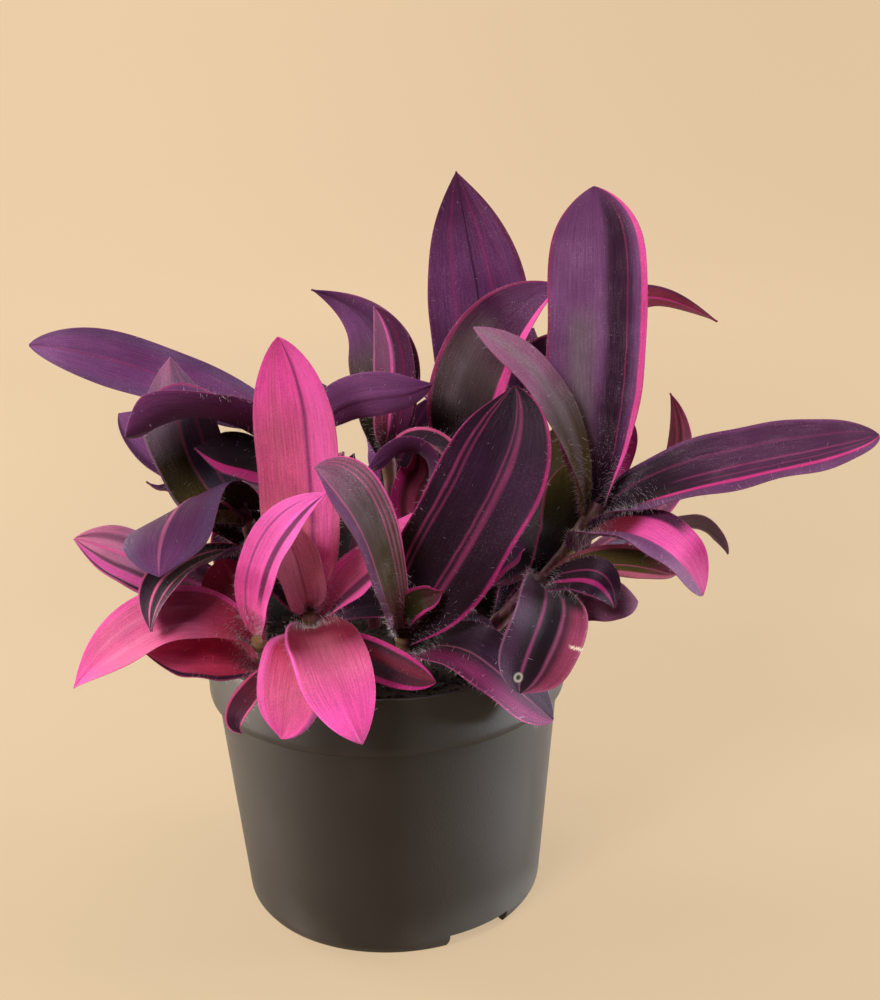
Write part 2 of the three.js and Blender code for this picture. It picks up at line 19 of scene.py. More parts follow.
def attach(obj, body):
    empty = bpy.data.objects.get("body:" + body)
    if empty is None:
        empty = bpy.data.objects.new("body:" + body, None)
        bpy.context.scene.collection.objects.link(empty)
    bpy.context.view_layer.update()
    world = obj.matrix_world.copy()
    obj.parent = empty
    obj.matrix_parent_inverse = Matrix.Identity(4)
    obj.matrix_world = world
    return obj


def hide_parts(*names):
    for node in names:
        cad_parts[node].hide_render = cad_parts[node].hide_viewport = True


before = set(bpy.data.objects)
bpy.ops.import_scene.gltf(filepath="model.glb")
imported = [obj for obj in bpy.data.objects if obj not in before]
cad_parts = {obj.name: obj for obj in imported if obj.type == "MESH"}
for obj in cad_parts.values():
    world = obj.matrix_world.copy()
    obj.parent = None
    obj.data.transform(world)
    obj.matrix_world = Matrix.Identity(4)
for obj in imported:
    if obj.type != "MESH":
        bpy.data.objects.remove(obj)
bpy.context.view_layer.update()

MM = 0.001
print("nodes in the frame:", len(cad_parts))

# %% [markdown]
# ## Camera, backdrop and light
# The photograph looks down on the pot from close by, so that the far leaves are plainly smaller. The
# camera was fitted to the ellipses of the pot's rim, groove and foot. Its axes are worked out from the
# way it looks and a small roll.

# %% The camera
CAMERA_AT = Vector((0.0, -0.422, 0.255))
PITCH = math.radians(15.7)  # down from the horizon
PAN = math.radians(2.6)  # towards +X
ROLL = math.radians(-1.5)
LENS = 48.24  # on a sensor of 36 along the image's long side


def camera_axes():
    """The directions of the image's right, its top and the line of sight."""
    ahead = Vector((math.sin(PAN) * math.cos(PITCH), math.cos(PAN) * math.cos(PITCH), -math.sin(PITCH)))
    level = Vector((math.cos(PAN), -math.sin(PAN), 0.0))
    upright = level.cross(ahead)
    right = math.cos(ROLL) * level + math.sin(ROLL) * upright
    return right, math.cos(ROLL) * upright - math.sin(ROLL) * level, ahead


right, top, ahead = camera_axes()
camera = bpy.data.objects.new("camera", bpy.data.cameras.new("camera"))
camera.data.lens = LENS
camera.data.sensor_width = 36.0
camera.data.clip_start = 0.01
camera.matrix_world = Matrix.Translation(CAMERA_AT) @ Matrix((right, top, -ahead)).transposed().to_4x4()
bpy.context.scene.collection.objects.link(camera)
bpy.context.scene.camera = camera
print("camera looks along", tuple(round(x, 3) for x in ahead))

# %% [markdown]
# ## A way to write node trees as Python
# Shaders and Geometry Nodes are both trees of nodes. `Wire` holds one socket, so that an expression such
# as `1 - mask * 0.5` adds its Math nodes by itself. Every other node comes from `Wire.node`, which sets
# the node's settings first and then its sockets, by value or by link.


# %% The wire class
class Wire:
    """A socket of a node tree, for use in Python expressions."""

    def __init__(self, tree, socket=None):
        self.tree = tree
        self.socket = socket

    def node(self, kind, settings=None, sockets=None, output=0):
        """Adds a node and returns one of its outputs."""
        made = self.tree.nodes.new(kind)
        for name, value in (settings or {}).items():
            setattr(made, name, value)
        for name, value in (sockets or {}).items():
            self.plug(made.inputs[name], value)
        return Wire(self.tree, made.outputs[output])

    def out(self, name):
        """Another output of the node that this wire leaves."""
        return Wire(self.tree, self.socket.node.outputs[name])

    def plug(self, socket, value):
        """Gives a socket a value, a wire or a list of wires."""
        for one in value if isinstance(value, list) else [value]:
            if isinstance(one, Wire):
                self.tree.links.new(one.socket, socket)
            else:
                socket.default_value = one

    def math(self, operation, *values):
        """A Math node of wires and numbers."""
        return self.node("ShaderNodeMath", {"operation": operation}, dict(enumerate(values)))

    def __add__(self, other):
        return self.math("ADD", self, other)

    def __sub__(self, other):
        return self.math("SUBTRACT", self, other)

    def __rsub__(self, other):
        return self.math("SUBTRACT", other, self)

    def __mul__(self, other):
        return self.math("MULTIPLY", self, other)

    def __truediv__(self, other):
        return self.math("DIVIDE", self, other)

    def __pow__(self, other):
        return self.math("POWER", self, other)

    __radd__ = __add__
    __rmul__ = __mul__

    def span(self, low, high, to_low=0.0, to_high=1.0):
        """Eases from one value to another as the wire goes from low to high."""
        return self.node("ShaderNodeMapRange", {"interpolation_type": "SMOOTHSTEP"},
                         {"Value": self, "From Min": low, "From Max": high,
                          "To Min": to_low, "To Max": to_high})

    def size(self):
        """How large a number is, or how long a vector."""
        if self.socket.type == "VECTOR":
            return self.node("ShaderNodeVectorMath", {"operation": "LENGTH"}, {0: self}, output="Value")
        return self.math("ABSOLUTE", self)

    def mixed(self, other, share):
        """This colour, turned into another by a share."""
        return self.node("ShaderNodeMix", {"data_type": "RGBA"}, {0: share, 6: self, 7: other}, output=2)

    def between(self, low, high):
        """The colour that this share makes of two colour codes."""
        return self.node("ShaderNodeMix", {"data_type": "RGBA"},
                         {0: self, 6: linear(low), 7: linear(high)}, output=2)

    def scaled(self, factor):
        """This colour or vector, times a number."""
        return self.node("ShaderNodeVectorMath", {"operation": "SCALE"}, {0: self, "Scale": factor})

    def combined(self, operation, other):
        """Vector Math on this vector and another."""
        return self.node("ShaderNodeVectorMath", {"operation": operation}, {0: self, 1: other})

    def axes(self):
        """The X, Y and Z of this vector."""
        x = self.node("ShaderNodeSeparateXYZ", None, {"Vector": self}, output="X")
        return x, x.out("Y"), x.out("Z")

    def vector(self, x=0.0, y=0.0, z=0.0):
        """A vector of three numbers or wires."""
        return self.node("ShaderNodeCombineXYZ", None, {"X": x, "Y": y, "Z": z})

    def noise(self, scale, detail=2.0, roughness=0.5):
        """Noise, from 0 to 1, at the position that this wire carries."""
        return self.node("ShaderNodeTexNoise", None,
                         {"Vector": self, "Scale": scale, "Detail": detail, "Roughness": roughness})


def linear(code):
    """A colour written as six hexadecimal digits, as linear numbers with alpha."""
    parts = [int(code[k:k + 2], 16) / 255 for k in (0, 2, 4)]
    return tuple(c / 12.92 if c <= 0.04045 else ((c + 0.055) / 1.055) ** 2.4 for c in parts) + (1.0,)


def new_material(name):
    """An empty material and the wire and shader that its colours start from."""
    material = bpy.data.materials.new(name)
    material.use_nodes = True
    tree = material.node_tree
    return material, Wire(tree), tree.nodes["Principled BSDF"]


def emboss(shader, start, height, strength, distance):
    """Gives a shader relief: where its height is, how strong it shows, and its depth in metres."""
    relief = start.node("ShaderNodeBump", None,
                        {"Strength": strength, "Distance": distance, "Height": height})
    start.plug(shader.inputs["Normal"], relief)


# %% [markdown]
# The backdrop is one pale bowl: a floor that sweeps up far behind the plant on every side. A plane or a
# plain world colour would show a horizon or lose the floor. The bowl glows like lit paper, which keeps it
# even without many lamps. Only the half behind the plant also sends that light to it, because the real
# pot mirrors bright paper at its sides and a dark room in front. Large soft lamps stand at both sides, a
# little behind, and one lamp above in front models the leaves. A low lamp at each side draws the pale
# edges of the pot.

# %% Helpers that turn points and faces into an object
def new_object(name, points, faces, edges=()):
    """A smooth mesh object of points in metres."""
    mesh = bpy.data.meshes.new(name)
    mesh.from_pydata([tuple(p) for p in points], list(edges), [tuple(f) for f in faces])
    mesh.update()
    mesh.shade_smooth()
    made = bpy.data.objects.new(name, mesh)
    bpy.context.scene.collection.objects.link(made)
    return made


def turned(profile, sides):
    """Points and faces of a profile of (radius, height) turned about Z. A radius of 0 is one point."""
    points, rings = [], []
    for radius, height in profile:
        start = len(points)
        count = 1 if radius < 1e-9 else sides
        for k in range(count):
            angle = 2 * math.pi * k / sides
            points.append((radius * math.cos(angle), radius * math.sin(angle), height))
        rings.append([start + k % count for k in range(sides + 1)])
    faces = []
    for low, high in zip(rings, rings[1:]):
        for k in range(sides):
            corners = [low[k], low[k + 1], high[k + 1], high[k]]
            faces.append(list(dict.fromkeys(corners)))
    return points, [f for f in faces if len(f) > 2]


# %% Backdrop
BOWL = [(0, 0), (0.5, 0), (1.4, 0), (1.8, 0.03), (2.15, 0.16), (2.38, 0.4),
        (2.5, 0.75), (2.55, 1.3), (2.6, 2.2)]  # radius and height in metres
BOWL_SIDES = 96
PAPER = (0.755, 0.563, 0.365)
backdrop = new_object("backdrop", *turned(BOWL, BOWL_SIDES))
backdrop_paint, start, shader = new_material("backdrop_paint")
shader.inputs["Base Color"].default_value = (0.14, 0.108, 0.06, 1.0)
shader.inputs["Roughness"].default_value = 0.9
seen = start.node("ShaderNodeLightPath", output="Is Camera Ray")
place = start.node("ShaderNodeTexCoord", output="Object")
side, depth, _ = place.axes()
behind = depth.span(-0.25, 0.15)
shade = place.size().span(0.3, 1.6, 0.74, 1.0) * side.span(-0.6, 0.9, 1.0, 0.9)
glow = start.vector(*PAPER).scaled(shade * (seen + (1 - seen) * behind * 0.8))
start.plug(shader.inputs["Emission Color"], glow)
shader.inputs["Emission Strength"].default_value = 1.0
backdrop.data.materials.append(backdrop_paint)


# %% Lamps
def lamp(name, place, target, size, power, colour=(1.0, 1.0, 1.0), spread=180):
    """A rectangular soft lamp that faces its target, and how many degrees its light spreads over."""
    data = bpy.data.lights.new(name, "AREA")
    data.shape = "RECTANGLE"
    data.size, data.size_y = size
    data.energy = power
    data.spread = math.radians(spread)
    data.color = colour
    made = bpy.data.objects.new(name, data)
    made.location = place
    made.rotation_mode = "QUATERNION"
    made.rotation_quaternion = (Vector(target) - Vector(place)).to_track_quat("-Z", "Y")
    bpy.context.scene.collection.objects.link(made)


PLANT_MIDDLE = (0.01, 0.0, 0.14)
POT_MIDDLE = (0.0, 0.0, 0.045)
LOW_SPREAD = 16  # degrees, so that the low lamps reach the pot and few leaves
lamp("front_lamp", (-0.55, -0.9, 0.95), PLANT_MIDDLE, (0.4, 0.4), 15.0, (1.0, 0.96, 0.93))
lamp("left_lamp", (-0.85, 0.55, 0.4), PLANT_MIDDLE, (0.5, 0.9), 10.0, (1.0, 0.97, 0.93))
lamp("right_lamp", (1.0, 0.15, 0.4), PLANT_MIDDLE, (1.2, 0.9), 11.0, (0.96, 0.98, 1.0))
lamp("low_right_lamp", (0.75, -0.02, 0.045), POT_MIDDLE, (0.6, 0.07), 0.5, (0.85, 0.93, 1.0), LOW_SPREAD)
lamp("low_left_lamp", (-0.75, 0.0, 0.045), POT_MIDDLE, (0.5, 0.07), 0.3, (1.0, 0.94, 0.86), LOW_SPREAD)
lamp("top_lamp", (0.1, 0.2, 1.5), PLANT_MIDDLE, (0.7, 0.7), 5.0)

world = bpy.data.worlds.new("room")
world.use_nodes = True
room_light = world.node_tree.nodes["Background"].inputs
room_light["Color"].default_value = (1.0, 0.95, 0.88, 1.0)
room_light["Strength"].default_value = 0.16
bpy.context.scene.world = world
bpy.context.scene.view_settings.view_transform = "Standard"

# %% [markdown]
# ## A way to grow a piece with Geometry Nodes
# What repeats, or follows a path or a surface, comes out of a small Geometry Nodes tree with named inputs.
# The tree could stay live as a modifier, but its instances would be lost in an export. So `grown` runs it
# once on a carrier and keeps the plain mesh, and `finished` says what the piece rides on.

# %% Helpers that run a Geometry Nodes tree
def new_tree(name, kinds):
    """A Geometry Nodes tree with named inputs, and the wires of those inputs."""
    tree = bpy.data.node_groups.new(name, "GeometryNodeTree")
    tree.interface.new_socket(name="Geometry", in_out="INPUT", socket_type="NodeSocketGeometry")
    tree.interface.new_socket(name="Geometry", in_out="OUTPUT", socket_type="NodeSocketGeometry")
    for label, kind in kinds.items():
        tree.interface.new_socket(name=label, in_out="INPUT", socket_type="NodeSocket" + kind)
    entry = tree.nodes.new("NodeGroupInput")
    return tree, {socket.name: Wire(tree, socket) for socket in entry.outputs if socket.name}


def close_tree(tree, result, material):
    """Ends a tree: plain geometry instead of instances, with its material."""
    start = Wire(tree)
    real = start.node("GeometryNodeRealizeInstances", None, {"Geometry": result})
    painted = start.node("GeometryNodeSetMaterial", None, {"Geometry": real, "Material": material})
    start.plug(tree.nodes.new("NodeGroupOutput").inputs["Geometry"], painted)


def grown(name, carrier, tree, **values):
    """Runs a tree on a carrier and returns the result as a new object with a plain mesh."""
    modifier = carrier.modifiers.new(tree.name, "NODES")
    modifier.node_group = tree
    for item in tree.interface.items_tree:
        key = item.name.lower().replace(" ", "_")
        if item.in_out == "INPUT" and key in values:
            modifier[item.identifier] = values[key]
    graph = bpy.context.evaluated_depsgraph_get()
    mesh = bpy.data.meshes.new_from_object(carrier.evaluated_get(graph))
    carrier.modifiers.remove(modifier)
    mesh.name = name
    made = bpy.data.objects.new(name, mesh)
    bpy.context.scene.collection.objects.link(made)
    print(name, "has", sum(len(p.vertices) - 2 for p in mesh.polygons), "triangles")
    return made


def finished(piece, slot, *nodes):
    """Hangs a finished piece on the body that it rides on and hides the part's nodes that it stands for.
    The slot is not used.
    """
    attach(piece, "root")
    if nodes:
        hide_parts(*nodes)


# %% [markdown]
# ## The pot
# A nursery pot is one thin moulded shell: a tapering body, a wide band below the rim that stands out with a
# quarter-round underside, a foot with notches, and a raised drainage channel with holes in the floor. It
# could be stacked from cylinders, but one section, drawn once with every corner rounded and turned about
# the axis, keeps the wall even. The notches and holes repeat around it, so Geometry Nodes places their
# cutters and takes them away.

# %% Section of the pot
POT_HEIGHT = 93.0
RIM_RADIUS = 60.0
WALL = 1.4
GROOVE = POT_HEIGHT - 19.7  # where the band begins
BODY_RADIUS = RIM_RADIUS - 3.0
FOOT_RADIUS = 50.0
DISC_RADIUS = 20.0  # of the floor's middle, inside the drainage channel
CHANNEL_HEIGHT = 5.0
POT_SIDES = 160


def body_radius(height):
    """The outer radius of the tapering body."""
    return FOOT_RADIUS + (BODY_RADIUS - FOOT_RADIUS) * height / GROOVE


def rounded(corners, steps=5):
    """A profile whose corners (radius, height, rounding) are replaced by short curves."""
    points = []
    for k, (x, z, size) in enumerate(corners):
        here = Vector((x, z))
        if size == 0:
            points.append(here)
            continue
        before = Vector(corners[k - 1][:2]) - here
        after = Vector(corners[k + 1][:2]) - here
        reach = min(size, 0.45 * before.length, 0.45 * after.length)
        start = here + before.normalized() * reach
        end = here + after.normalized() * reach
        for i in range(steps + 1):
            t = i / steps
            points.append(start * (1 - t) ** 2 + here * 2 * t * (1 - t) + end * t ** 2)
    return [(p.x * MM, p.y * MM) for p in points]


POT_SECTION = [
    (0, 0, 0), (DISC_RADIUS, 0, 0.8), (DISC_RADIUS + 3, CHANNEL_HEIGHT - WALL, 0.8),
    (FOOT_RADIUS - 5, CHANNEL_HEIGHT - WALL, 0.5), (FOOT_RADIUS - 4, 0, 0.4), (FOOT_RADIUS - 2, 0, 0.5),
    (body_radius(3), 3, 2.6), (BODY_RADIUS, GROOVE, 0.35), (BODY_RADIUS + 1.9, GROOVE + 0.8, 1.2),
    (RIM_RADIUS - 0.4, GROOVE + 3, 1.6), (RIM_RADIUS, POT_HEIGHT, 0.7),
    (RIM_RADIUS - WALL, POT_HEIGHT, 0.6),
    (RIM_RADIUS - WALL - 0.4, GROOVE + 4, 1.5), (body_radius(GROOVE + 2) - WALL, GROOVE + 2, 1.0),
    (body_radius(CHANNEL_HEIGHT + 3) - WALL, CHANNEL_HEIGHT + 3, 1.0),
    (FOOT_RADIUS - 5, CHANNEL_HEIGHT, 1.5), (DISC_RADIUS + 2, CHANNEL_HEIGHT, 1.0),
    (DISC_RADIUS - 1, WALL, 1.0), (0, WALL, 0),
]
blank = new_object("pot_blank", *turned(rounded(POT_SECTION), POT_SIDES))
print("pot section has", len(rounded(POT_SECTION)), "points")

# %% Tree that cuts the notches and drain holes
tree, wires = new_tree("cut_openings", {
    "Notch Count": "Int", "Notch Angle": "Float", "Notch Size": "Vector", "Notch Reach": "Float",
    "Hole Count": "Int", "Hole Radius": "Float", "Hole Reach": "Float", "Material": "Material",
})
start = Wire(tree)


def ring_of(shape, count, reach, angle):
    """Copies of a shape around the Z axis, each turned to face outwards."""
    turn = start.node("GeometryNodeInputIndex") * (2 * math.pi) / count + angle
    spot = start.vector(start.math("COSINE", turn) * reach, start.math("SINE", turn) * reach)
    ring = start.node("GeometryNodePoints", None, {"Count": count, "Position": spot})
    return start.node("GeometryNodeInstanceOnPoints", None,
                      {"Points": ring, "Instance": shape, "Rotation": start.vector(z=turn)})


notch = start.node("GeometryNodeMeshCube", None, {"Size": wires["Notch Size"]})
hole = start.node("GeometryNodeMeshCylinder", None,
                  {"Vertices": 24, "Radius": wires["Hole Radius"], "Depth": 0.02})
cutters = start.node("GeometryNodeJoinGeometry", None, {"Geometry": [
    ring_of(notch, wires["Notch Count"], wires["Notch Reach"], wires["Notch Angle"]),
    ring_of(hole, wires["Hole Count"], wires["Hole Reach"], 0.0),
]})
solid_cutters = start.node("GeometryNodeRealizeInstances", None, {"Geometry": cutters})
cut = start.node("GeometryNodeMeshBoolean", {"operation": "DIFFERENCE", "solver": "EXACT"},
                 {"Mesh 1": wires["Geometry"], "Mesh 2": solid_cutters})
close_tree(tree, cut, wires["Material"])

# %% [markdown]
# The plastic is satin and nearly black, with a warm cast. Moulding leaves a fine grain, handling leaves a
# few pale specks and dull rubbed patches, and dust from the bench settles towards the foot. All of these
# are noise on Object coordinates, which need no unwrapping and fit a turned shell from every side.

# %% Pot plastic
pot_plastic, start, shader = new_material("pot_plastic")
place = start.node("ShaderNodeTexCoord", output="Object")
patches = place.noise(22.0, detail=3.0)
grain = place.noise(1600.0)
specks = start.node("ShaderNodeTexVoronoi", None, {"Vector": place, "Scale": 85.0})
speck = specks.span(0.045, 0.075, 1.0, 0.0) * place.noise(31.0).span(0.56, 0.62)
height = place.axes()[2]
dust = height.span(0.0, 0.02, 0.22, 0.0) * patches.span(0.35, 0.65)
dusty = patches.span(0.3, 0.7).between("150f0e", "1e1716").mixed(linear("6d6459"), dust)
start.plug(shader.inputs["Base Color"], dusty.mixed(linear("b5aa9c"), speck * 0.7))
start.plug(shader.inputs["Roughness"], 0.36 + patches * 0.12 + grain * 0.06 + dust)
shader.inputs["Specular IOR Level"].default_value = 0.85
emboss(shader, start, grain + patches * 3, 0.25, 0.0002)

# %% The pot
NOTCH_ANGLE = math.radians(-57.5)  # of the first notch, from +X towards +Y
NOTCH_SIZE = (0.012, 0.023, 0.0096)
HOLE_RADIUS = 0.004
SHARP_ANGLE = math.radians(38)  # edges that turn by more than this stay crisp
pot = grown("pot_shell", blank, tree, notch_count=2, notch_angle=NOTCH_ANGLE, notch_size=NOTCH_SIZE,
            notch_reach=FOOT_RADIUS * MM, hole_count=6, hole_radius=HOLE_RADIUS,
            hole_reach=(FOOT_RADIUS + DISC_RADIUS) / 2 * MM, material=pot_plastic)
bpy.data.objects.remove(blank)
pot.data.shade_smooth()
pot.data.set_sharp_from_angle(angle=SHARP_ANGLE)
finished(pot, "pot_plastic", "pot")

# %% [markdown]
# ## The soil
# Potting soil settles into an uneven surface a little below the rim, of crumbs of peat, slivers of bark and
# a few pale grains of perlite. The body of it is a turned solid whose top is pushed up and down by
# noise. A bump alone would leave its edge flat against the wall, and particles would be lost in an
# export, so Geometry Nodes strews real crumbs over that top, the same tree once for each kind.

# %% Body of the soil
SOIL_TOP = 84.0
SOIL_RINGS = 26
SOIL_SIDES = 96
HEAPS = 1.2  # height of the coarse unevenness
LUMPS = 0.7  # height of the fine unevenness
EDGE_DROP = 1.4  # how far the soil falls off towards the wall


def soil_section():
    """The section from the underside round the wall to the middle of the top."""
    edge = RIM_RADIUS - WALL - 1.3
    side = [(0, WALL + 0.4), (DISC_RADIUS - 1.3, WALL + 0.4), (DISC_RADIUS + 1.8, CHANNEL_HEIGHT + 0.4),
            (FOOT_RADIUS - 5.4, CHANNEL_HEIGHT + 0.4), (body_radius(9) - WALL - 0.8, 9),
            (body_radius(GROOVE) - WALL - 0.8, GROOVE + 2), (edge, GROOVE + 4.6), (edge, SOIL_TOP - 2)]
    tops = [(edge * (1 - k / SOIL_RINGS), SOIL_TOP) for k in range(1, SOIL_RINGS + 1)]
    return [(x * MM, z * MM) for x, z in side + tops]


points, faces = turned(soil_section(), SOIL_SIDES)
heaped = []
for x, y, z in points:
    if z > (SOIL_TOP - 2.5) * MM:
        spot = Vector((x, y, 0.0)) / MM
        coarse = noise.noise(spot / 14)
        fine = noise.noise(spot / 4)
        z += (HEAPS * coarse + LUMPS * fine - EDGE_DROP * (spot.length / RIM_RADIUS) ** 4) * MM
    heaped.append((x, y, z))
soil = new_object("soil_fill", heaped, faces)

# %% Soil colour
earth, start, shader = new_material("earth")
place = start.node("ShaderNodeTexCoord", output="Object")
clods = place.noise(260.0, detail=6.0, roughness=0.7)
fibres = place.noise(1400.0, detail=3.0)
dark = clods.span(0.35, 0.7).between("140c08", "3a2719")
start.plug(shader.inputs["Base Color"], dark.mixed(linear("5d4630"), fibres.span(0.62, 0.75) * 0.5))
start.plug(shader.inputs["Roughness"], 0.95 - clods * 0.15)
emboss(shader, start, clods + fibres * 0.4, 0.9, 0.0012)
soil.data.materials.append(earth)

pale_grain, start, shader = new_material("pale_grain")
pits = start.node("ShaderNodeTexCoord", output="Object").noise(1800.0)
start.plug(shader.inputs["Base Color"], pits.span(0.4, 0.6).between("6d6052", "b3a795"))
start.plug(shader.inputs["Roughness"], 0.8 + pits * 0.15)

# %% Tree that strews crumbs
tree, wires = new_tree("strew_crumbs", {"Density": "Float", "Size": "Float", "Flatness": "Float",
                                        "Seed": "Int", "Material": "Material"})
start = Wire(tree)
upward = start.math("GREATER_THAN", start.node("GeometryNodeInputNormal").axes()[2], 0.6)
strewn = start.node("GeometryNodeDistributePointsOnFaces", None,
                    {"Mesh": wires["Geometry"], "Selection": upward, "Density": wires["Density"],
                     "Seed": wires["Seed"]})
turn = start.node("FunctionNodeRandomValue", {"data_type": "FLOAT_VECTOR"},
                  {"Max": (6.28, 6.28, 6.28), "Seed": wires["Seed"]})
shape = start.node("FunctionNodeRandomValue", {"data_type": "FLOAT_VECTOR"},
                   {"Min": (0.35, 0.4, 0.3), "Max": (1.0, 1.4, 0.9), "Seed": wires["Seed"]})
flat = start.vector(wires["Size"], wires["Size"], wires["Size"] * wires["Flatness"])
size = shape.combined("MULTIPLY", flat)
crumb = start.node("GeometryNodeMeshIcoSphere", None, {"Radius": 1.0, "Subdivisions": 1})
crumbs = start.node("GeometryNodeInstanceOnPoints", None,
                    {"Points": strewn, "Instance": crumb, "Rotation": turn, "Scale": size})
close_tree(tree, crumbs, wires["Material"])

# %% The soil and what lies on it
STREWN = {  # how many on a square metre, radius in metres, flatness, seed and material
    "soil_crumbs": (130000.0, 0.0011, 1.0, 3, earth),
    "soil_bark": (9000.0, 0.0028, 0.35, 8, earth),
    "soil_perlite": (2200.0, 0.0009, 1.0, 21, pale_grain),
}
strewn_pieces = []
for name, (density, size, flatness, seed, material) in STREWN.items():
    strewn_pieces.append(grown(name, soil, tree, density=density, size=size, flatness=flatness,
                               seed=seed, material=material))
finished(soil, "soil", "soil")
for piece in strewn_pieces:
    finished(piece, "soil")

# %% [markdown]
# ## The shoots
# Every shoot is a round stem with strap leaves that leave it in turn. A leaf wraps the stem at its root,
# opens into a channelled blade and ends in a point. Blades could be drawn by hand or grown by a node
# tree, but each has its own bend, twist and fold, so they come from a table: three points along the rib,
# the way that the upper side looks, and the width. The table is the part's own, so each blade lies
# where its solid lies.

# %% Table of the leaves' forms, in millimetres
def leaf(name, style, third, two_thirds, tip, **form):
    """A row: name, look, points at the thirds of the rib and at its tip, and form.

    on: how far up its shoot the leaf sits, face: where its upper side looks, end: where that side looks at
    the tip, wide: width, widest: where along the blade, fold: how deep its channel is, blunt and taper: the
    shape of its point.
    """
    return {"name": name, "style": style, "end": None, "fold": 0.5, "widest": 0.42, "blunt": 1.8,
            "taper": 0.85, **form, "points": (third, two_thirds, tip)}


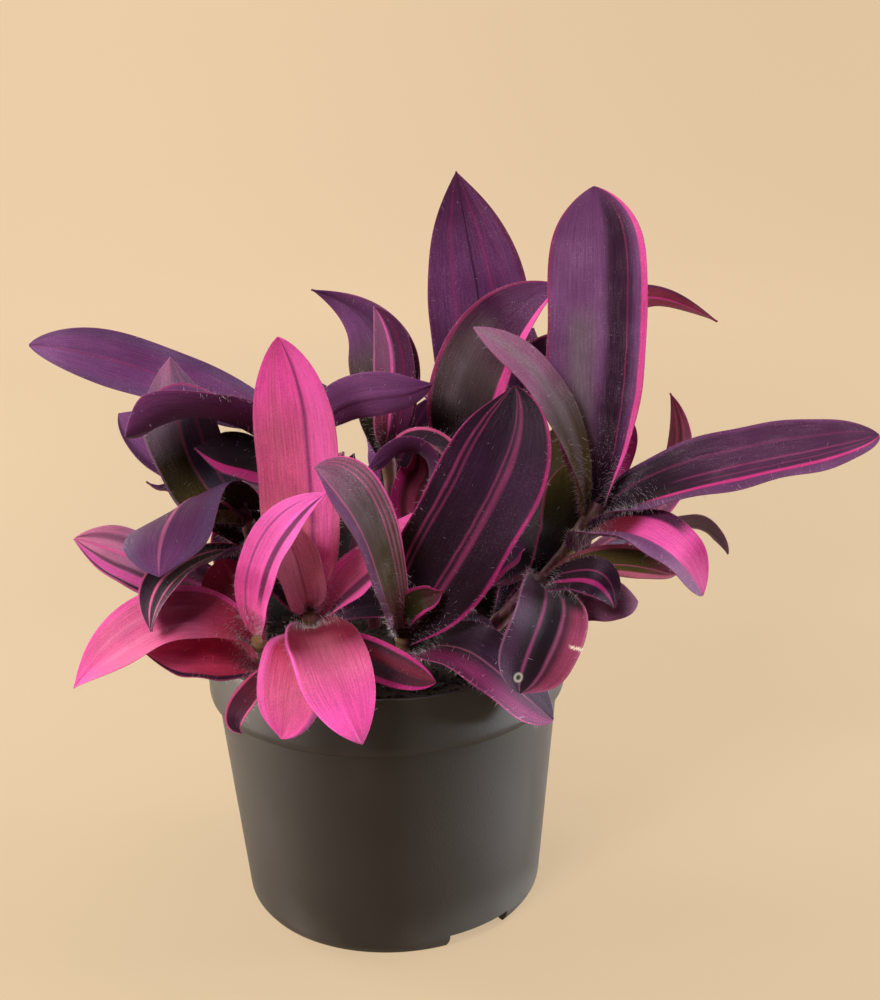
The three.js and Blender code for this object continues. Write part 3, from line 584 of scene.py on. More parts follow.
SHOOTS = {
    "pink_front": {
        "stem": ((-16, -26), (-23, -33, 102), (-23, -35, 112)),
        "leaves": [
            leaf("tall", "tall_pink", (-24, -34, 140), (-24.5, -34, 169), (-28, -36, 197),
                 on=0.9, wide=25, face=(-0.1, -1, 0.1), blunt=2.2, taper=0.72),
            leaf("over_rim", "rim_pink", (-19, -60, 113), (-14, -72, 104), (-8, -76, 87),
                 on=0.8, wide=22, face=(0, -0.4, 1), end=(0.1, -1, 0.2), fold=0.35),
            leaf("over_rim_left", "rim_magenta", (-26, -56, 108), (-28, -68, 99), (-31, -72, 88),
                 on=0.5, wide=20, face=(0, -0.4, 1), end=(-0.1, -1, 0.2), fold=0.4),
            leaf("right", "side_pink", (-10, -31, 120), (1, -29.5, 128.5), (16.8, -25.0, 142.4),
                 on=0.75, wide=17, face=(-0.4, -0.6, 0.7), fold=0.6),
            leaf("inner", "rolled_pink", (-24, -42, 122), (-26, -45, 134), (-30, -46, 147),
                 on=1, wide=14, face=(0.3, -0.95, 0), fold=0.7),
            leaf("lip", "dark_half", (-11, -46, 103), (2, -54, 100), (14, -58, 97),
                 on=0.4, wide=13, face=(0, -0.7, 0.7)),
        ],
    },
    "pink_left": {
        "stem": ((-36, -24), (-39, -33, 96), (-39, -37, 105)),
        "leaves": [
            leaf("arch", "arched_pink", (-38, -48, 125), (-30, -56, 144), (-15, -58, 156),
                 on=0.9, wide=14, face=(-0.5, -0.85, 0), end=(-0.3, -0.8, 0.5), taper=1),
            leaf("wing", "pale_pink", (-55, -40, 114), (-74, -46, 112), (-93, -50, 97),
                 on=0.7, wide=22.5, face=(0, -0.5, 0.9), end=(-0.5, -0.7, 0.5), taper=1),
            leaf("under", "maroon_pink", (-52, -38.5, 99.3), (-62, -41, 102), (-73, -43, 104.5),
                 on=0.4, wide=19, face=(0, -0.5, 0.85), taper=1),
            leaf("shade", "shaded_pink", (-44, -31.5, 112), (-48, -26, 119), (-51, -20, 125.5),
                 on=0.95, wide=19, face=(0.2, -0.95, 0.2), fold=0.6),
            leaf("drip", "dark_rimmed", (-37, -50, 97), (-43.5, -61, 93), (-43, -63, 86),
                 on=0.25, wide=8, face=(0, -0.4, 0.9), end=(-0.3, -0.9, 0.2), fold=0.8, taper=1),
        ],
    },
    "left_low": {
        "stem": ((-42, -2), (-42, -4, 119), (-43, -6, 134)),
        "leaves": [
            leaf("curl", "curled", (-51, -8, 141), (-61.5, -30, 144.5), (-64.7, -52, 131),
                 on=0.6, wide=28, face=(0.65, -0.3, -0.7), end=(-0.1, 1, 0), widest=0.68, taper=0.9),
            leaf("hook", "hooked_stripes", (-55, -27, 128), (-64, -45, 126), (-68, -55, 115.5),
                 on=0.72, wide=19, face=(-0.3, -0.5, 0.8), end=(-0.7, -0.6, 0.3), fold=0.7, taper=1),
            leaf("side", "mauve_stripes", (-64, -20, 118.5), (-78, -28, 128.5), (-92, -35, 138.5),
                 on=0.35, wide=23, face=(0.1, -0.6, 0.8), blunt=2.2, taper=0.8),
            leaf("sickle", "olive_violet", (-57, -6, 147), (-63, -6, 166), (-64, -4, 187),
                 on=1, wide=25, face=(0.4, -0.8, 0.4), end=(0.2, -0.95, 0.1), fold=0.6, taper=1),
            leaf("far", "maroon", (-59, 8, 145), (-73, 12, 156), (-85, 14, 166),
                 on=0.9, wide=23, face=(0.2, -0.6, 0.7), fold=0.6),
            leaf("sliver", "night", (-66, 16, 136), (-73, 18, 139), (-79, 20, 141),
                 on=0.6, wide=4, face=(0, -0.4, 0.9), fold=0.6, taper=1),
            leaf("below", "night", (-48, 5, 112), (-50.5, 8, 122), (-51.5, 10, 131),
                 on=0.45, wide=15, face=(0.1, -1, 0.1)),
        ],
    },
    "left_tall": {
        "stem": ((-24, 6), (-26, 4, 137), (-27, 2, 163)),
        "leaves": [
            leaf("long", "violet", (-55, 12, 171.5), (-82, 10, 183.5), (-109, 4, 191),
                 on=0.95, wide=20, face=(0.1, -0.8, 0.6), end=(0.05, -0.9, 0.4), fold=0.35, blunt=1.95,
                 taper=0.7),
            leaf("folded", "folded_violet", (-50, -20, 171), (-62, -30, 172.5), (-74, -36, 169.5),
                 on=0.85, wide=32, face=(0, -0.05, 1), end=(0, 0.7, 0.7), fold=1.2, blunt=2.6,
                 taper=0.7),
            leaf("dark", "night_magenta", (-37, -12, 152), (-46, -19, 157), (-56, -23, 162),
                 on=0.6, wide=22, face=(0, -0.6, 0.8), fold=0.6, taper=1),
            leaf("right", "violet_back", (-10, -8, 171.5), (3, -12, 174.5), (17, -16, 178),
                 on=0.9, wide=16, face=(0, 1, 0.35), fold=0.3),
            leaf("right_back", "violet_back", (-19, 10, 169), (-15, 14, 170), (-11, 16, 171),
                 on=0.75, wide=10, face=(0, -0.4, 0.9)),
            leaf("low", "night", (-17.5, -8, 122), (-12, -13, 139), (-8, -17, 157),
                 on=0.3, wide=17.5, face=(0, -0.5, 0.9)),
            leaf("below", "night", (-30, 10, 106), (-36, 13, 112), (-41, 14, 119),
                 on=0.2, wide=18, face=(0, -0.9, 0.4)),
        ],
    },
    "back_left": {
        "stem": ((-4, 22), (3, 22, 124), (3, 22, 148)),
        "leaves": [
            leaf("hooked", "olive_grey", (3, 26, 168), (-0.5, 28, 188), (-20.5, 26, 203),
                 on=0.9, wide=24, face=(0, -1, 0.1), end=(0.5, -0.7, -0.4), blunt=1.1, taper=1),
            leaf("young", "mauve_young", (4, 18, 163), (5, 17, 181), (0, 16, 198),
                 on=1, wide=16, face=(0.35, -0.9, 0), fold=0.8),
            leaf("rearward", "dark_striped", (8, 32, 138), (14, 36, 150), (19, 40, 163),
                 on=0.6, wide=18, face=(0, -0.9, 0.3)),
        ],
    },
    "back_mid": {
        "stem": ((14, 16), (25, 14, 122), (27, 10, 149)),
        "leaves": [
            leaf("spear", "spear", (35, 20, 178), (33, 22, 210), (28, 20, 240),
                 on=0.9, wide=33.5, face=(0, -1, 0.1), fold=0.35, blunt=1.6, taper=1),
            leaf("arch", "arch_dark", (27, -2, 167), (36, -10, 191), (57, -16, 207),
                 on=0.95, wide=24, face=(-0.1, -1, 0.1), end=(-0.4, -0.85, 0.3), fold=0.45, taper=1),
            leaf("behind", "night", (43, 24, 164), (56, 30, 175), (74, 33, 187),
                 on=0.85, wide=18, face=(0, -1, 0.2), fold=0.4),
            leaf("rearward", "violet", (27, 24, 124), (22, 38, 128), (14, 52, 126),
                 on=0.5, wide=18, face=(0.1, 0.3, 0.9)),
        ],
    },
    "right_tall": {
        "stem": ((30, -10), (54, -18, 117), (69, -15, 137)),
        "leaves": [
            leaf("blade", "blade", (67, -18, 171), (67, -22, 204), (66, -20, 236),
                 on=0.98, wide=30.5, face=(-0.2, -1, 0.05), fold=0.4, blunt=2.6, widest=0.53,
                 taper=0.75),
            leaf("crossing", "striated", (56, -28, 166), (44, -32, 185), (29, -30, 197),
                 on=0.92, wide=15, face=(0.35, -0.7, 0.6), fold=0.6, taper=0.8),
            leaf("reach", "reaching", (95, -26, 147), (125, -32, 154.8), (151, -34, 161),
                 on=0.9, wide=30, face=(0, -0.4, 0.92), fold=0.65, taper=0.62),
            leaf("bowed", "bowed", (72, -35, 134), (85, -45, 130.5), (95, -48, 117),
                 on=0.75, wide=27, face=(0.1, -0.2, 0.95), end=(0.6, -0.5, 0.5), fold=0.7, blunt=2.3,
                 taper=0.75),
            leaf("tucked", "magenta_edge", (77, 2, 144), (81, 6, 153), (79, 8, 164),
                 on=0.95, wide=9, face=(0, -1, 0), fold=0.4),
            leaf("slim", "wine", (74, 20, 182), (92, 28, 196.5), (116, 26, 188),
                 on=0.85, wide=12, face=(-0.3, -0.7, 0.7), end=(0, -0.5, 0.85), taper=1),
            leaf("whip", "white_pink", (93, 16, 125), (103, 20, 146), (98.5, 18, 165.5),
                 on=0.6, wide=11, face=(-0.3, -0.9, 0), fold=0.7, blunt=1.3, taper=1),
            leaf("grey_tip", "slate", (92, 10, 119), (108, 8, 121), (116, 2, 113),
                 on=0.55, wide=14, face=(0, 0.5, 0.85), end=(0.5, 0.4, 0.7)),
            leaf("low", "dark_striped", (48, -2, 106), (61, 2, 112), (74, 8, 106),
                 on=0.3, wide=18, face=(0, -0.8, 0.6)),
            leaf("sheath", "olive_base", (57, -10, 120), (60, -5, 134), (60, -2, 147),
                 on=0.4, wide=18, face=(0, -1, 0.2)),
        ],
    },
    "right_low": {
        "stem": ((26, -24), (42, -28, 111), (50, -30, 119)),
        "leaves": [
            leaf("olive", "olive_salmon", (67, -29, 121.5), (80, -32, 121.5), (90, -34, 119),
                 on=0.8, wide=14, face=(0, -0.5, 0.85), fold=0.6),
            leaf("snub", "snub", (56, -44, 123), (63, -50, 124), (68, -50, 115),
                 on=0.9, wide=14, face=(0, -0.6, 0.8), end=(0.3, -0.8, 0.5)),
            leaf("round", "slate_round", (61, -30, 110.5), (69, -35, 111.5), (78, -35, 111),
                 on=0.7, wide=15, face=(0, -0.7, 0.6), fold=0.4, blunt=2.3, taper=0.7),
            leaf("spotted", "spotted", (49, -50, 117), (43.5, -60, 107), (38, -64, 95),
                 on=0.8, wide=25, face=(0.35, -0.88, 0.4), blunt=2.6),
        ],
    },
    "front_mid": {
        "stem": ((6, -28), (5, -33, 96), (5, -36, 104)),
        "leaves": [
            leaf("striped", "striped", (17.5, -45, 129), (33, -46, 157), (40, -39, 181),
                 on=0.9, wide=32, face=(-0.1, -0.95, 0.3), fold=0.45, blunt=2.2, taper=0.9),
            leaf("bow", "silver_bow", (1, -54, 128), (-5, -62, 152), (-18, -64, 165),
                 on=1, wide=17, face=(0.7, -0.7, 0.1), end=(0.3, -0.85, 0.4), blunt=1.6, widest=0.65),
            leaf("nub", "nub", (8, -46, 117), (12, -48, 120), (17, -48, 122),
                 on=0.95, wide=9, face=(0.3, -0.9, 0.2), fold=0.7, taper=1),
            leaf("spill", "spilling", (21, -49, 104), (33.4, -54, 97), (49.3, -52, 80.5),
                 on=0.6, wide=22, face=(0.1, -0.5, 0.85), end=(0.1, -0.6, 0.8), blunt=2.8, taper=0.7),
        ],
    },
    "centre": {
        "stem": ((12, -8), (18, -8, 108), (20, -8, 120)),
        "leaves": [
            leaf("flap", "flapped", (19, -12, 145), (11, -20, 158), (-5, -32, 154),
                 on=1, wide=23, face=(0.1, -0.9, 0.4), end=(0.2, 0.8, 0.5), blunt=1.4, taper=1),
            leaf("shadow", "shadowed", (26, -18, 115), (36, -15, 122), (46, -11, 122),
                 on=0.6, wide=18, face=(0, -0.6, 0.8)),
            leaf("fan", "olive_base", (41, 3, 120), (56, 8, 138), (61, 11, 158),
                 on=0.8, wide=31, face=(-0.2, -0.9, 0.4)),
            leaf("low_left", "night", (2, -16, 106), (-9, -20, 108), (-18, -20, 103),
                 on=0.4, wide=14, face=(0, -0.5, 0.9)),
            leaf("low_front", "shadowed", (21, -21, 100), (27, -33, 102), (33, -42, 98),
                 on=0.25, wide=14, face=(0, -0.6, 0.8)),
            leaf("inside", "dusky", (11.3, -11.0, 138.0), (14.7, -11.0, 146.8), (12.8, -14.0, 159.6),
                 on=0.5, wide=18, face=(-0.1, -1, 0.1), blunt=2.2, taper=0.7),
        ],
    },
    "rear_left": {
        "stem": ((-22, 30), (-27, 38, 108), (-30, 42, 128)),
        "leaves": [
            leaf("high", "dark_striped", (-36, 48, 146), (-46, 62, 154), (-58, 78, 152),
                 on=1, wide=22, face=(-0.3, 0.8, 0.5)),
            leaf("drooping", "violet", (-46, 56, 128), (-62, 72, 124), (-78, 86, 106),
                 on=0.9, wide=24, face=(-0.3, 0.2, 1)),
            leaf("straight", "striped", (-27, 62, 132), (-26, 86, 130), (-28, 106, 112),
                 on=0.85, wide=26, face=(0, 0.2, 1), end=(0, 0.8, 0.5)),
            leaf("low_side", "pink_striped", (-49, 37, 123), (-70, 38, 117), (-90, 36, 97),
                 on=0.6, wide=24, face=(-0.2, -0.5, 1), end=(-0.7, 0.2, 0.6)),
            leaf("over_rim", "mauve_stripes", (-29, 58, 107), (-34, 70, 98), (-38, 78, 82),
                 on=0.5, wide=18, face=(0, 0.3, 1), end=(-0.2, 1, 0.2), fold=0.4),
        ],
    },
    "rear_mid": {
        "stem": ((4, 44), (3, 50, 104), (3, 53, 118)),
        "leaves": [
            leaf("high", "pink_striped", (5, 58, 136), (4, 66, 149), (3, 80, 154),
                 on=1, wide=20, face=(0, 1, 0.3)),
            leaf("drooping", "dark_striped", (6, 72, 118), (10, 90, 112), (12, 102, 96),
                 on=0.8, wide=22, face=(0, 0.3, 1), end=(0, 1, 0.3)),
            leaf("over_rim", "pink_striped", (-2, 64, 105), (-5, 73, 95), (-7, 78, 80),
                 on=0.5, wide=18, face=(0, 0.4, 1), end=(0, 1, 0.2), fold=0.4),
        ],
    },
    "rear_right": {
        "stem": ((28, 30), (34, 38, 110), (38, 42, 132)),
        "leaves": [
            leaf("high", "violet", (44, 47, 150), (50, 54, 168), (58, 64, 182),
                 on=1, wide=24, face=(0.1, 1, 0.2), fold=0.4),
            leaf("drooping", "striped", (56, 56, 130), (74, 70, 126), (92, 82, 110),
                 on=0.9, wide=24, face=(0.3, 0.2, 1)),
            leaf("straight", "dark_striped", (38, 62, 134), (42, 86, 134), (48, 108, 118),
                 on=0.85, wide=26, face=(0, 0.2, 1), end=(0, 0.8, 0.5)),
            leaf("inward", "spear", (28, 50, 148), (20, 60, 158), (10, 72, 162),
                 on=0.95, wide=22, face=(0, 0.4, 0.9)),
            leaf("over_rim", "violet", (33, 58, 107), (37, 70, 98), (42, 78, 82),
                 on=0.5, wide=20, face=(0, 0.3, 1), end=(0.2, 1, 0.2), fold=0.4),
            leaf("low_side", "mauve_stripes", (57, 40, 101), (73, 41, 100), (86, 41, 85),
                 on=0.35, wide=18, face=(0.2, 0, 1), end=(0.7, 0.2, 0.6)),
        ],
    },
}
print("leaves:", sum(len(shoot["leaves"]) for shoot in SHOOTS.values()), "on", len(SHOOTS), "stems")

# %% [markdown]
# Each leaf also has a look: colours from root to tip for its upper side and its underside, and stripes
# that run the length of the blade. A stripe is given by its place across the blade, from -1 to 1, its
# half-width, how soft its edge is, its colour, its strength and, where it is shorter than the blade, the
# shares of the length where it starts and ends. The pink shoots have almost no dark tissue. The others are
# dark with pink stripes, and violet below.

# %% Colours of leaf tissue
TISSUE = {
    "pink": "f457ac", "bright": "ff6cc4", "fuchsia": "cc3480", "magenta": "b42a74", "deep": "8c2050",
    "rose": "dc5e90", "dusk": "9a4060", "blush": "f290b8", "salmon": "c4647c", "ruby": "a83050",
    "crimson": "701a2e", "violet": "6a3868", "lilac": "865488", "mauve": "925a7c", "shell": "c27aa2",
    "frost": "947c94", "slate": "504868", "plum": "4a2042", "aubergine": "321830", "maroon": "582230",
    "night": "22121c", "black": "12090c", "olive": "2e2a10", "moss": "50461e", "lime": "70602c",
    # silver is a painted sheen: a pale grey laid in soft stripes where a leaf shines
    "grey": "5a4a4c", "dusty": "b05c7a", "silver": "82747a", "stripe": "983868", "line": "b45a84",
    "rib": "a25870",
}


def look(upper, under, *stripes, below=(), frost=0.0):
    """Colours of both sides of a blade, its stripes above and below, and how much painted sheen it has."""
    return {"upper": upper, "under": under, "stripes": stripes, "below": below, "frost": frost}


MIDRIB = (0.0, 0.03, 0.03, "stripe", 0.5)
LOOKS = {
    "tall_pink": look(["crimson", "salmon", "salmon", "rose", "rose", "pink", "pink"], ["rose", "pink"],
        (0.26, 0.05, 0.05, "plum", 0.9), (0.62, 0.3, 0.3, "bright", 0.6),
        (-0.45, 0.12, 0.15, "salmon", 0.35)),
    # The crimson at the roots of both leaves over the rim is painted shade, where the roots lie in shadow
    # under the shoot.
    "rim_pink": look(["crimson", "crimson", "crimson", "rose", "pink", "pink"], ["rose", "pink"],
        (0.0, 0.4, 0.4, "salmon", 0.4, 0.25, 0.5), (0.0, 1.2, 0.2, "mauve", 0.6, 0.9, 2.0),
        (0.96, 0.04, 0.04, "bright", 0.7)),
    "rim_magenta": look(["crimson", "ruby", "rose", "pink"], ["rose", "pink"],
        (0.0, 0.35, 0.35, "salmon", 0.3, 0.2, 0.9), (0.9, 0.12, 0.12, "bright", 0.7),
        (-0.95, 0.12, 0.1, "violet", 0.8, 0.5, 1.0)),
    "side_pink": look(["dusk", "rose", "rose", "pink"], ["rose", "mauve"],
        (0.42, 0.2, 0.08, "plum", 0.85), (0.88, 0.16, 0.05, "pink", 1.0),
        (-0.85, 0.16, 0.12, "pink", 0.8)),
    "rolled_pink": look(["rose", "blush", "blush"], ["blush", "blush", "rose"],
        (0.0, 0.05, 0.06, "dusk", 0.5), (0.8, 0.12, 0.1, "blush", 0.5)),
    "dark_half": look(["maroon", "night", "maroon"], ["maroon", "magenta"],
        (-0.3, 0.25, 0.2, "crimson", 0.9), (-0.9, 0.12, 0.06, "magenta", 1.0),
        (0.86, 0.16, 0.06, "magenta", 1.0)),
    "arched_pink": look(["rose", "pink", "bright", "bright"], ["rose", "pink"],
        (0.42, 0.15, 0.05, "plum", 0.85, 0.22, 2.0), (-0.45, 0.04, 0.05, "violet", 0.7, 0.1, 0.8),
        (0.92, 0.12, 0.06, "bright", 0.8)),
    # The dark ruby at the root is painted shade under the shoots, and the pale blush streaks are partly the
    # leaf's own and partly painted highlight.
    "pale_pink": look(["ruby", "ruby", "dusk", "rose", "rose", "pink"], ["rose", "mauve"],
        (-0.35, 0.08, 0.12, "blush", 0.35, 0.35, 0.8), (0.3, 0.08, 0.12, "blush", 0.3, 0.35, 0.8),
        (0.92, 0.1, 0.06, "pink", 0.7)),
    "maroon_pink": look(["ruby", "ruby", "rose"], ["dusk", "deep"],
        (-0.92, 0.14, 0.06, "aubergine", 1.0), (-0.98, 0.02, 0.02, "stripe", 0.9)),
    # The dark crimson of this look is painted shade: its leaf lies in shadow under the leaves above.
    "shaded_pink": look(["crimson", "crimson", "ruby"], ["crimson", "ruby"],
        (0.2, 0.1, 0.08, "rose", 0.3)),
    "dark_rimmed": look(["maroon", "maroon", "aubergine"], ["crimson", "dusk"],
        (-0.92, 0.1, 0.06, "rose", 0.8), (0.92, 0.1, 0.06, "rose", 0.8)),
    "curled": look(["olive", "olive", "plum", "plum"], ["plum", "violet", "plum", "violet"],
        (0.0, 0.05, 0.03, "rib", 0.9),
        below=[(0.0, 0.04, 0.03, "line", 0.8), (-0.9, 0.2, 0.2, "slate", 0.5),
               (0.9, 0.2, 0.2, "slate", 0.4)]),
    "hooked_stripes": look(["night", "night", "night", "aubergine"], ["plum", "violet"],
        (-0.22, 0.05, 0.04, "rose", 0.8), (0.34, 0.06, 0.04, "rose", 0.85),
        (0.97, 0.04, 0.03, "rose", 0.7), (-0.97, 0.04, 0.03, "rose", 0.7)),
    "mauve_stripes": look(["plum", "mauve", "shell", "blush"], ["plum", "violet"],
        (-0.6, 0.18, 0.05, "bright", 1.0), (-0.87, 0.05, 0.04, "plum", 1.0),
        (-0.98, 0.04, 0.03, "pink", 0.9), (-0.3, 0.08, 0.05, "plum", 0.75),
        (0.15, 0.06, 0.05, "pink", 0.6), (0.6, 0.12, 0.08, "plum", 0.6), frost=0.2),
    "olive_violet": look(["lime", "moss", "olive", "frost", "shell"], ["plum", "violet"],
        (0.55, 0.5, 0.1, "slate", 0.7), (0.02, 0.035, 0.03, "rib", 0.9), (0.5, 0.04, 0.04, "rose", 0.3),
        (-0.97, 0.03, 0.03, "frost", 0.8), frost=0.1),
    "maroon": look(["plum", "violet", "lilac"], ["plum", "plum"], MIDRIB,
        (-0.9, 0.2, 0.15, "aubergine", 0.7)),
    "violet": look(["plum", "violet", "violet", "lilac"], ["plum", "violet"], MIDRIB,
        (0.9, 0.2, 0.2, "slate", 0.5), (-0.92, 0.2, 0.2, "slate", 0.35), frost=0.1),
    "folded_violet": look(["plum", "violet", "violet", "lilac"], ["plum", "violet", "violet"],
        (0.6, 0.24, 0.12, "night", 0.8, -1.0, 0.5), (0.98, 0.03, 0.02, "stripe", 0.8),
        (-0.98, 0.03, 0.02, "rose", 0.8), (0.0, 0.06, 0.06, "plum", 0.6),
        below=[(0.0, 0.3, 0.3, "plum", 0.4)]),
    # The near black of this leaf's upper side is partly its own dark tissue and partly painted shade over
    # its far half.
    "night_magenta": look(["night", "black", "night"], ["slate", "plum"],
        (-0.62, 0.3, 0.04, "magenta", 1.0), (-0.98, 0.05, 0.03, "aubergine", 1.0)),
    "violet_back": look(["plum", "plum"], ["violet", "lilac", "violet"], MIDRIB),
    "olive_grey": look(["black", "olive", "grey", "lilac", "violet"], ["plum", "plum"],
        (0.0, 0.05, 0.05, "grey", 0.3), (0.97, 0.04, 0.03, "mauve", 0.6), (0.3, 0.25, 0.3, "black", 0.4),
        frost=0.1),
    "mauve_young": look(["night", "dusk", "mauve", "mauve"], ["violet", "mauve"],
        (0.0, 0.07, 0.03, "bright", 0.8), (0.6, 0.45, 0.06, "plum", 0.85),
        (-0.95, 0.06, 0.03, "blush", 0.5), (0.5, 0.06, 0.05, "deep", 0.5)),
    "spear": look(["plum", "plum", "violet", "plum"], ["plum", "violet"],
        (0.0, 0.02, 0.02, "aubergine", 0.9), (-0.45, 0.05, 0.08, "magenta", 0.2),
        (0.3, 0.04, 0.08, "magenta", 0.25), (0.6, 0.03, 0.06, "magenta", 0.15),
        (0.96, 0.06, 0.05, "maroon", 0.7), (0.75, 0.2, 0.2, "lilac", 0.25), frost=0.08),
    # The silver stripe of this look is a painted sheen down the middle of the blade.
    "arch_dark": look(["black", "black", "grey", "plum", "violet"], ["plum", "violet"],
        (-0.95, 0.06, 0.03, "stripe", 0.95), (0.86, 0.12, 0.03, "pink", 1.0),
        (-0.3, 0.2, 0.3, "silver", 0.45, 0.3, 0.65), frost=0.2),
    # The near black of this look is painted shade, for leaves that lie deep inside the plant.
    "night": look(["black", "night", "plum"], ["plum", "plum"], (-0.96, 0.05, 0.03, "stripe", 0.7),
        (0.96, 0.05, 0.03, "stripe", 0.7)),
    # The silver stripe of this look is a painted sheen over the left of the blade.
    "blade": look(["night", "violet", "lilac", "lilac", "violet"], ["plum", "violet"],
        (0.45, 0.27, 0.14, "night", 0.85, -1.0, 0.9), (-0.3, 0.25, 0.25, "silver", 0.75, 0.0, 0.55),
        (0.6, 0.015, 0.02, "stripe", 0.8, 0.1, 0.9), (0.94, 0.07, 0.02, "pink", 1.0),
        (0.2, 0.2, 0.12, "night", 0.6, -1.0, 0.3), (-0.98, 0.03, 0.02, "stripe", 0.9), frost=0.2),
    # The silver stripe of this look is a painted sheen across the blade.
    "striated": look(["lime", "moss", "grey", "mauve", "mauve", "mauve"], ["lime", "moss", "violet"],
        (-0.97, 0.05, 0.03, "stripe", 0.7), (0.2, 0.25, 0.2, "silver", 0.6), frost=0.5),
    "reaching": look(["black", "night", "plum", "plum", "plum"], ["plum", "violet"],
        (0.46, 0.07, 0.03, "fuchsia", 1.0, 0.15, 2.0), (0.8, 0.27, 0.05, "violet", 0.9),
        (-0.05, 0.025, 0.03, "stripe", 0.6, 0.25, 0.9), (0.2, 0.02, 0.02, "stripe", 0.45, 0.3, 0.9),
        (-0.5, 0.03, 0.04, "stripe", 0.3), (-0.96, 0.05, 0.04, "violet", 0.6), frost=0.12),
    "bowed": look(["crimson", "violet", "violet"], ["violet", "violet"],
        (-0.5, 0.58, 0.05, "crimson", 1.0, -1.0, 0.4), (-0.5, 0.58, 0.05, "pink", 0.85, 0.35, 2.0),
        (-0.92, 0.22, 0.06, "aubergine", 0.95, -1.0, 0.6), (-0.4, 0.7, 0.2, "magenta", 0.9, 0.7, 2.0),
        (0.5, 0.45, 0.05, "violet", 0.8), frost=0.12),
    "magenta_edge": look(["maroon", "maroon", "magenta"], ["plum", "violet"],
        (0.6, 0.3, 0.1, "magenta", 0.9)),
    "wine": look(["crimson", "crimson", "crimson"], ["crimson", "maroon"],
        (0.0, 0.08, 0.05, "magenta", 0.9), (-0.9, 0.15, 0.1, "plum", 0.8)),
    "white_pink": look(["dusk", "shell", "shell", "shell"], ["mauve", "shell", "blush"],
        (-0.3, 0.12, 0.04, "blush", 0.9), (0.3, 0.12, 0.04, "blush", 0.9),
        (0.95, 0.08, 0.03, "bright", 0.9), (0.0, 0.05, 0.04, "violet", 0.5),
        below=[(0.9, 0.12, 0.05, "bright", 0.9), (0.0, 0.06, 0.05, "violet", 0.5)], frost=0.2),
    "slate": look(["plum", "frost", "frost"], ["slate", "frost", "frost"],
        (0.95, 0.05, 0.03, "mauve", 0.5), frost=0.3),
    "olive_salmon": look(["lime", "moss", "moss", "dusk"], ["lime", "moss"],
        (0.75, 0.22, 0.06, "salmon", 1.0), (-0.9, 0.12, 0.05, "salmon", 0.8),
        (0.1, 0.05, 0.05, "rose", 0.5)),
    "snub": look(["night", "night", "aubergine"], ["plum", "violet"], (0.25, 0.13, 0.06, "magenta", 0.8),
        (-0.32, 0.04, 0.04, "stripe", 0.6), (0.97, 0.03, 0.03, "stripe", 0.5)),
    "olive_base": look(["black", "black", "olive", "moss"], ["night", "moss"],
        (-0.95, 0.05, 0.04, "dusk", 0.9), (0.9, 0.1, 0.1, "dusk", 0.5)),
    "slate_round": look(["violet", "mauve", "mauve"], ["violet", "violet"], MIDRIB, frost=0.1),
    # The dusky rose over the right of the spotted leaf is partly its own colour and partly painted light on
    # its lit side.
    "spotted": look(["night", "black", "night"], ["plum", "violet"],
        (-0.88, 0.34, 0.2, "dusk", 0.9, 0.25, 2.0), (0.18, 0.035, 0.05, "stripe", 0.85),
        (-0.36, 0.04, 0.06, "line", 0.6), (0.75, 0.25, 0.2, "plum", 0.5),
        (0.98, 0.03, 0.02, "mauve", 0.5), (-0.97, 0.05, 0.04, "dusty", 0.7)),
    # The black at the tip of this look is painted shadow, cast over the tip of the striped leaf.
    "striped": look(["night", "night", "aubergine", "black"], ["plum", "violet"],
        (-0.7, 0.025, 0.03, "stripe", 0.7), (-0.58, 0.02, 0.03, "stripe", 0.55),
        (0.1, 0.02, 0.03, "stripe", 0.6), (0.24, 0.05, 0.05, "stripe", 0.6),
        (-0.985, 0.02, 0.02, "magenta", 0.65), (0.96, 0.04, 0.03, "magenta", 0.7)),
    "silver_bow": look(["dusk", "moss", "grey", "mauve"], ["moss", "violet"],
        (-0.8, 0.16, 0.06, "violet", 0.9), (-0.55, 0.04, 0.03, "line", 0.8),
        (0.48, 0.035, 0.03, "line", 0.9), (0.66, 0.035, 0.03, "line", 0.9),
        (0.84, 0.035, 0.03, "line", 0.8), (0.97, 0.04, 0.03, "pink", 0.9), frost=0.5),
    "nub": look(["olive", "olive", "maroon"], ["olive", "maroon"], (-0.9, 0.12, 0.05, "magenta", 0.9),
        (0.9, 0.12, 0.05, "magenta", 0.9)),
    "spilling": look(["black", "night", "aubergine", "aubergine"], ["plum", "violet", "violet"],
        (0.98, 0.04, 0.03, "stripe", 0.8), (0.6, 0.3, 0.3, "magenta", 0.3),
        (0.0, 0.025, 0.03, "rib", 0.5), (-0.7, 0.3, 0.2, "night", 0.7), frost=0.05),
    "flapped": look(["olive", "night", "plum"], ["plum", "plum", "violet"],
        (-0.4, 0.1, 0.04, "dusk", 0.8), (0.0, 0.08, 0.04, "dusk", 0.7), (0.4, 0.1, 0.05, "salmon", 0.5),
        (-0.92, 0.12, 0.04, "magenta", 0.6), (0.96, 0.06, 0.03, "rose", 0.8),
        below=[(0.9, 0.1, 0.05, "rose", 0.8)], frost=0.1),
    "dusky": look(["maroon", "maroon", "aubergine"], ["plum", "plum"],
        (-0.85, 0.2, 0.08, "magenta", 0.7), (-0.25, 0.16, 0.08, "dusk", 0.8),
        (0.15, 0.05, 0.05, "dusk", 0.5), (0.8, 0.35, 0.2, "olive", 0.8)),
    # The near black of this look is painted shade, for leaves that lie deep among the others.
    "shadowed": look(["black", "aubergine", "plum"], ["plum", "plum"],
        (0.9, 0.14, 0.05, "magenta", 0.9)),
    "dark_striped": look(["night", "aubergine", "plum", "violet"], ["plum", "violet"],
